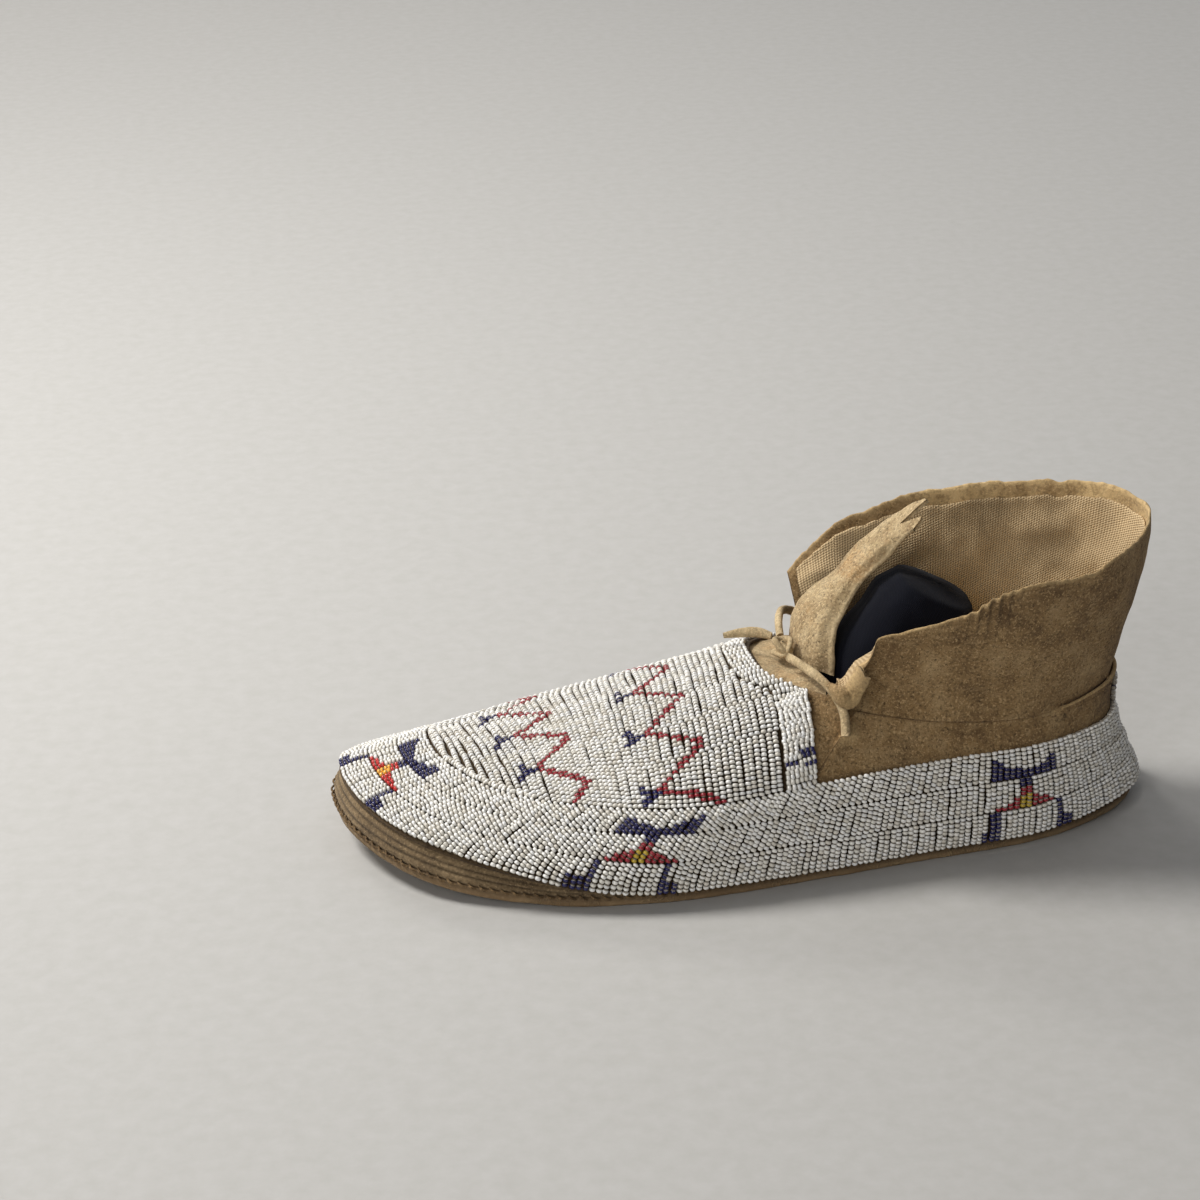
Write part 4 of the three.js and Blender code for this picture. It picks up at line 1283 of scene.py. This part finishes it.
def make_collar(brown, lining_cloth):
    """Collar from the seam to the rim, all round the heel, and what hangs on it."""
    s = np.linspace(COLLAR_FRONT, COLLAR_TO, 420)
    front = front_share(s)
    face, norm = collar_face(s, front)
    t = np.linspace(0, 1, face.shape[1])[None]
    rim = face[:, -1].copy()
    cut_rim(face, rim, t)
    gather_shade = wave_collar(face, norm, rim, t)
    face, fold = fold_corner(face, s)
    thickness = HIDE * (1 + 0.25 * lumps(face, 5, 31)) * mix(1.0, 0.75, smooth01((t - 0.9) / 0.1))
    far = (clamp01((rim[:, 0] - 52) / 14) * smooth01((rim[:, 1] + 12) / 18))[:, None]
    ragged = 0.035 * lumps(rim, 6, 141, 2)[:, None]
    patchy = clamp01(0.75 + 0.7 * lumps(rim, 11, 142, 2))[:, None]
    wear = far * patchy * smooth01((t - 0.955 - ragged) / 0.03) + 0.5 * smooth01((t - 0.985) / 0.01)
    wear = wear + 0.35 * fold * smooth01((t - 0.8) / 0.15)
    back = far * patchy * smooth01((t - 0.88 - ragged) / 0.03) + 0.35 * smooth01((t - 0.97) / 0.02)
    wear = np.concatenate([wear, back[:, -1:], back[:, ::-1], wear[:, :1]], 1)
    # Painted shade at the foot of the collar round the heel, in the groove where it tucks behind the
    # quarter, and in the gathers.
    dirt_and_shade = 0.3 * (1 - smooth01(t / 0.10)) * (1 - front[:, None]) + gather_shade
    sweep("hide_collar", sheet_loops(face, norm, thickness), brown, "shoe", "collar_hide", "hide_brown",
          layers={"wear": clamp01(wear), "dirt_and_shade": clamp01(spread(dirt_and_shade))})
    make_flap(face[:, -1], outward(s), brown)
    make_lining(face, norm, thickness, lining_cloth)


LINING_REACH = 0.935    # share of the collar's height that the cloth covers


def make_lining(face, norm, thickness, cloth):
    """The cloth inside the collar, ending short of the rim."""
    rows = int(face.shape[1] * LINING_REACH)
    part = (slice(6, len(face) - 6), slice(2, rows))
    inner = face[part] - norm[part] * (thickness[part] + 0.25)[..., None]
    rise = np.linspace(0, 1, inner.shape[1])[None]
    sag = clamp01(0.5 + lumps(inner, 19, 121) + 0.5 * lumps(inner, 10, 122)) * 2.0
    inner -= norm[part] * (sag * smooth01((1 - rise) / 0.2) * smooth01(rise / 0.2))[..., None]
    loops = sheet_loops(inner, norm[part], np.full(inner.shape[:2], LINING * 0.7))
    around = distances(inner[:, rows // 2 - 2])
    up = collar_reach(inner)
    flat = spread(np.stack([around[:, None] + 0 * up, up], -1))
    stain = lumps(inner, 18, 41, 2)
    lining = sweep("lining", loops, cloth, "shoe", "collar_lining", "lining_cloth", flat=flat,
                   layers={"dirt_and_shade": spread(0.4 * stain * (stain > 0))})


# ---- Sole and margin -----------------------------------------------------------------------------------
# Share of the way out from the middle, and up the sole's thickness, of each ring of its cross-section.
SOLE_RINGS = [
    (0.02, 0), (0.2, 0), (0.4, 0), (0.6, 0), (0.8, 0), (0.93, 0), (0.985, 0.02), (0.997, 0.12), (1, 0.35),
    (1, 0.7), (0.995, 0.93), (0.98, 1), (0.9, 1), (0.6, 1), (0.3, 1), (0.02, 1),
]


def make_sole(hide):
    around = 300
    s = np.arange(around) / around
    edge = sole_edge(s)
    out = outward(s)
    edge = edge + out * (lumps(edge, 6, 51, 2)[:, None] * 0.3 - 0.1)
    points = []
    for r, h in SOLE_RINGS:
        p = edge * r
        p[:, 2] = spring(p[:, 0]) + h * SOLE_THICKNESS
        layered = 0.35 * np.sin(h * 9 + lumps(edge, 12, 52) * 2) * (r > 0.99)
        points.append(p + out * layered[:, None])
    faces = turned(tube_faces(len(SOLE_RINGS), around))
    r, h = (np.array(column)[:, None] + np.zeros((1, around)) for column in zip(*SOLE_RINGS))
    # The top of the sole's outer edge, against the margin, is darkened.
    build("sole", np.array(points), faces, hide, "shoe", "sole_rawhide", "rawhide_sole",
          layers={"wear": 0.5 * (r > 0.97), "dirt_and_shade": 0.35 * (r > 0.97) * (h > 0.6)})


# Height, wander and depth of the margin's two lengthwise creases, and the size and seed of the wander.
CREASES = [(0.36, 0.06, 0.55, 22, 61), (0.68, 0.07, 0.5, 17, 62)]
MARGIN_IN, MARGIN_OUT = -5.5, -0.4


def creases(v, edge, widths):
    """Depth of the margin's creases at share v of its height, as two separate arrays."""
    for (height, wander, _, size, seed), width in zip(CREASES, widths):
        yield np.exp(-((v - height - wander * lumps(edge, size, seed)) / width) ** 2)


def make_margin(brown):
    """Turned margin of the upper: creased lengthwise, widest round the outer side of the toe."""
    around = 420
    s = np.arange(around) / around
    edge = sole_edge(s)
    out = outward(s)
    height = rand_height(edge)
    full = clamp01(height / 4)
    lean = TOE_INSET * toe_share(edge[:, 0])
    section = [(0.0, 0.6), (0.04, 1.0)] + [(v, 1.0) for v in np.linspace(0.1, 0.94, 13)]
    section += [(1.0, 0.9), (1.0, 0.0), (0.0, 0.0)]
    rows, dirt_and_shade = [], []
    for v, w in section:
        p = edge + out * (mix(MARGIN_IN, MARGIN_OUT, w) - lean * v)[:, None]
        first, second = creases(v, edge, (0.07, 0.06))
        crease = -CREASES[0][2] * first - CREASES[1][2] * second
        bulge = 0.9 * np.sin(np.pi * v) * full
        if w == 1.0:
            p += out * ((crease * full + bulge) + 0.12 * lumps(edge + v * 1.5, 9, 63))[:, None]
        p[:, 2] = spring(edge[:, 0]) + SOLE_THICKNESS + 0.05 + v * (height + 2 * GAP + 0.1)
        rows.append(p)
        # Painted shade along the two creases.
        dirt_and_shade.append(full * sum(creases(v, edge, (0.06, 0.05))) * 0.7)
    wear = 0.25 + 0.2 * lumps(np.repeat(edge[:, None], len(section), 1), 8, 64)
    faces = turned(grid_faces(around, len(section), True, True))
    build("hide_margin", np.stack(rows, 1), faces, brown, "shoe", "sole_margin", "hide_brown",
          layers={"wear": clamp01(wear), "dirt_and_shade": clamp01(np.stack(dirt_and_shade, 1))})


STITCH_POINTS, STITCH_SIDES = 6, 6


def stitches(name, line, normals, length, step, width, paint, node, sink=0.25, slant=0.0):
    """A row of short thread stitches laid along a line."""
    far = distances(line)
    points, faces = [], []
    t = np.linspace(-0.5, 0.5, STITCH_POINTS)
    widths = np.stack([np.full(STITCH_POINTS, width), np.full(STITCH_POINTS, width * 0.8)], 1)
    for at in np.arange(step / 2, far[-1] - length / 2, step):
        path = points_at(at + t * length, far, line)
        up = unit(points_at(at + t * length, far, normals))
        across = unit(np.cross(np.gradient(path, axis=0), up))
        arch = width * (np.cos(np.pi * t) - 0.6 - sink)
        path = path + up * arch[:, None] + across * (slant * t)[:, None]
        faces += tube_faces(STITCH_POINTS, STITCH_SIDES, len(points) * STITCH_POINTS * STITCH_SIDES)
        points.append(tube_points(path, widths, up, STITCH_SIDES).reshape(-1, 3))
    build(name, np.concatenate(points), faces, paint, "shoe", node, "sinew")


def make_seams(sinew):
    s = np.arange(0, 1.0001, 1 / 500)
    edge = sole_edge(s)
    line = edge + outward(s) * 0.35
    line[:, 2] = spring(edge[:, 0]) + SOLE_THICKNESS - 0.05
    stitches("sinew_sole_seam", line, outward(s), 3.0, 3.4, 0.9, sinew, "sole_seam_sinew", slant=1.2)
    s = np.linspace(7.1 / RAYS, 10.9 / RAYS, 160)
    line, normal = upper(s, np.full_like(s, 0.955), np.full_like(s, HIDE))
    stitches("sinew_collar_seam", line, normal, 1.8, 5.2, 0.5, sinew, "collar_seam_sinew", sink=0.1)


# ---- Tongue --------------------------------------------------------------------------------------------
TONGUE_OUTER_EDGE = [
    [24.5, -13, 54], [26, -8, 63], [29.5, -3, 70], [35.5, 0.5, 78.3], [44, 2, 86], [51, 0, 93], [57, -3, 99],
]
TONGUE_INNER_EDGE = [
    [17.5, 9, 54], [19, 14, 63.5], [24.5, 15.5, 69.5], [32, 14.5, 75.5], [38.5, 14, 84.5], [49.5, 11, 95],
    [59.5, 7, 103],
]
# Share of the way across, and share of its edges' length that the tongue reaches there: two points
# with a notch between them.
TONGUE_ENDS = [(0, 0.90), (0.12, 0.96), (0.2, 0.97), (0.45, 0.84), (0.75, 1), (0.88, 0.985), (1, 0.93)]


def make_tongue(pale):
    u = np.linspace(0, 1, 44)[None]
    v = np.linspace(0, 1, 90)[:, None] * np.interp(u, *zip(*TONGUE_ENDS))
    outer = catmull(TONGUE_OUTER_EDGE, v, False)
    across = catmull(TONGUE_INNER_EDGE, v, False) - outer
    along = catmull(TONGUE_OUTER_EDGE, v + 0.01, False) - catmull(TONGUE_OUTER_EDGE, v - 0.01, False)
    along = along + catmull(TONGUE_INNER_EDGE, v + 0.01, False)
    along = along - catmull(TONGUE_INNER_EDGE, v - 0.01, False)
    normal = -unit(np.cross(across, along))
    cup = 2.6 * (1 - (2 * u - 1) ** 2) * mix(1, 0.35, smooth01(v / 0.75))
    curl = -2.2 * smooth01((0.16 - u) / 0.16) * smooth01((0.85 - v) / 0.2)
    face = outer + across * u[..., None] + normal * (cup + curl + HIDE / 2)[..., None]
    face += normal * (lumps(face, 12, 71) * 0.6 + lumps(face, 4, 72, 2) * 0.25)[..., None]
    ragged = lumps(face[:, :1] + 0 * face, 4, 73)
    face += unit(across) * (ragged * 0.35 * (np.abs(2 * u - 1) > 0.9))[..., None]
    thickness = HIDE * (1 + 0.2 * lumps(face, 4, 74))
    loops = sheet_loops(face, normal, thickness)
    edge = smooth01((np.abs(2 * u - 1) - 0.88) / 0.12) + smooth01((v - 0.9) / 0.1) * 0.6
    wear = clamp01(0.5 * edge + 0.3 * lumps(face, 8, 75))
    hinge_shade = clamp01(0.25 * smooth01((0.12 - v) / 0.12))
    piece = sweep("tongue", loops, pale, "tongue", "tongue_hide", "hide_pale",
                  layers={"wear": spread(wear), "dirt_and_shade": spread(hinge_shade)})


# ---- Padded form ---------------------------------------------------------------------------------------
FORM_FOOT = np.array([19, 1, 19.0])
FORM_LEAN = math.radians(37)
FORM_DEPTH, FORM_WIDTH, FORM_HEIGHT, FORM_TOP_SLOPE = 17, 17.5, 72, 0.2
FORM_PROFILE = np.array([    # radius and height, as shares
    [0, 0], [0.6, 0.01], [0.92, 0.05], [1, 0.16], [0.98, 0.6], [0.92, 0.88], [0.75, 0.97], [0.02, 1],
])


def squared(wave):
    """Pushes a circle's cosine or sine out towards a square's."""
    return np.sign(wave) * np.abs(wave) ** 0.75


def make_form(cloth):
    """Stuffed cloth form, with a seam down its front and soft folds."""
    around, rows = 96, 60
    a = np.linspace(0, 2 * np.pi, around, endpoint=False)[None]
    t = np.linspace(0, 1, rows)
    knots = np.linspace(0, 1, len(FORM_PROFILE))
    r, h = (np.interp(t, knots, FORM_PROFILE[:, k])[:, None] for k in (0, 1))
    front = squared(np.cos(a)) * r * FORM_DEPTH
    side = squared(np.sin(a)) * r * FORM_WIDTH
    local = np.stack([front, side, h * (FORM_HEIGHT + FORM_TOP_SLOPE * front)], -1)
    fold = lumps(local, 15, 81) * 1.2 + lumps(local, 6, 82, 2) * 0.35
    seam = -0.7 * np.exp(-((local[..., 1] - 1.5) / 1.1) ** 2) * smooth01((h - 0.6) / 0.2)
    pucker = unit(np.stack([front, side, 6 * (h - 0.4) * np.ones_like(front)], -1))
    local = local + pucker * (fold + seam)[..., None] - pucker * 0.5
    c, n = math.cos(FORM_LEAN), math.sin(FORM_LEAN)
    leant = np.stack([c * local[..., 0] + n * local[..., 2], local[..., 1],
                      -n * local[..., 0] + c * local[..., 2]], -1)
    flat = np.stack([np.broadcast_to(a * FORM_DEPTH, front.shape), local[..., 2]], -1)
    piece = build("form_pad", leant + FORM_FOOT, turned(tube_faces(rows, around)), cloth, "form",
                  "padded_form", "form_cloth", flat=flat, layers={"dirt_and_shade": np.zeros(front.shape)})


# Ends of the tongue's foot, and the way from there to the root's back edge, under the tongue.
ROOT_INNER, ROOT_OUTER = np.array([16.4, 11.5, 54.0]), np.array([24.2, -15.5, 54.0])
ROOT_UNDER = np.array([1.4, 0.3, -3.0])


def make_tongue_root(pale):
    """Hide that joins the front of the throat to the foot of the tongue, under the tie."""
    s = np.linspace(-4.1 / RAYS, 4.25 / RAYS, 70)
    w = np.linspace(0, 1, 70)[:, None]
    front = upper(s, np.full_like(s, 0.985), np.full_like(s, HIDE * 0.9))[0]
    back = mix(ROOT_INNER, ROOT_OUTER, w)
    under = back + ROOT_UNDER
    t = np.linspace(0, 1, 14)[None, :, None]
    face = mix(front[:, None], back[:, None], t)
    face[..., 2] -= 1.1 * np.sin(np.pi * t[..., 0]) * np.sin(np.pi * w)
    face = np.concatenate([face, mix(back, under, 0.5)[:, None], under[:, None]], 1)
    normal = unit(np.cross(np.gradient(face, axis=0), np.gradient(face, axis=1)))
    face += normal * (lumps(face, 5, 111, 2) * 0.4)[..., None]
    loops = sheet_loops(face, normal, np.full(face.shape[:2], HIDE))
    wear = clamp01(0.2 + 0.3 * lumps(loops, 4, 112))
    sweep("tongue_root", loops, pale, "shoe", None, "hide_pale", layers={"wear": wear, "dirt_and_shade": 0 * wear})


def make_knot(pale):
    """Two turns of thong pulled tight, over a small core."""
    rows, sides = 90, 10
    t = np.linspace(0, 1, rows)
    turn = 2 * np.pi * t * 2.25
    loop = KNOT + np.stack([2.3 * np.cos(turn) + 0.4 * np.sin(2 * turn),
                            3.2 * np.sin(turn) * (0.75 + 0.25 * t),
                            2.2 * np.sin(turn * 0.5 + 0.6) + 0.5 * np.cos(turn * 2)], 1)
    widths = np.stack([np.full(rows, 2.4), np.full(rows, 1.9)], 1) * (1 + 0.12 * lumps(loop, 2, 91))[:, None]
    points = [tube_points(loop, widths, sides=sides).reshape(-1, 3)]
    core_rows, core_sides = 8, 12
    phi = np.linspace(0.15, np.pi - 0.15, core_rows)[:, None]
    theta = np.linspace(0, 2 * np.pi, core_sides, endpoint=False)[None]
    core = KNOT + np.stack([2.3 * np.sin(phi) * np.cos(theta), 3.0 * np.sin(phi) * np.sin(theta),
                            2.3 * np.cos(phi) * np.ones_like(theta)], -1)
    points = np.concatenate(points + [core.reshape(-1, 3)])
    faces = tube_faces(rows, sides) + turned(tube_faces(core_rows, core_sides, rows * sides))
    build("tie_knot_hide", points, faces, pale, "shoe", "tie_knot", "hide_pale",
          layers={"wear": clamp01(0.3 + 0.3 * lumps(points, 3, 92)), "dirt_and_shade": np.zeros(len(points))})


def make_loose_end(pale):
    """The loose end of the tie: short, flat and leaf-shaped, beside the knot."""
    rows, sides = 24, 10
    path = smooth_path(LOOSE_END, rows)
    leaf = np.sin(np.pi * np.linspace(0.12, 0.97, rows))
    widths = np.stack([1.6 + 2.0 * leaf, np.linspace(1.7, 0.9, rows)], 1)
    widths = widths * (1 + 0.15 * lumps(path, 2, 95))[:, None]
    build("tie_end", tube_points(path, widths, sides=sides), tube_faces(rows, sides), pale, "shoe",
          "tie_loose_end", "hide_pale",
          layers={"wear": np.full((rows, sides), 0.4), "dirt_and_shade": np.zeros((rows, sides))})


# ---- The whole ----------------------------------------------------------------------------------
make_camera()
pale_hide = suede("pale_hide", (196, 174, 136), (170, 146, 108), (134, 110, 78), (190, 138, 78),
                  pale=(222, 200, 158), size=0.6)
thong("tie_outer", OUTER_STRAND, "tie_strand_outer", pale_hide)
thong("tie_inner", INNER_STRAND, "tie_strand_inner", pale_hide)
make_studio()
brown_hide = suede("brown_hide", (171, 144, 104), (143, 115, 77), (104, 80, 52), (96, 73, 46))
glasses = make_glasses()
make_border(glasses)
make_vamp(glasses)
make_tabs(glasses)
make_heel_strip(glasses)
make_vamp_hide(brown_hide)
lining_cloth = twill("lining_cloth", (220, 194, 152), (153, 126, 90), 0.8, 0.25)
form_cloth = twill("form_cloth", (14, 16, 27), (4, 5, 11), 0.6, 0.12, sheen=0.02)
make_quarter("outer", THROAT_OUTER, HEEL, brown_hide)
make_quarter("inner", HEEL, THROAT_INNER, brown_hide)
make_collar(brown_hide, lining_cloth)
make_sole(rawhide())
make_margin(suede("margin_hide", (138, 117, 88), (110, 90, 64), (76, 60, 42), (66, 51, 35),
                  pale=(164, 142, 108), size=1.0, drag=1.0))
make_seams(suede("sinew_thread", (132, 108, 76), (110, 88, 60), (82, 64, 42), (90, 68, 44)))
make_tongue(pale_hide)
make_tongue_root(pale_hide)
make_form(form_cloth)
make_knot(pale_hide)
make_loose_end(pale_hide)
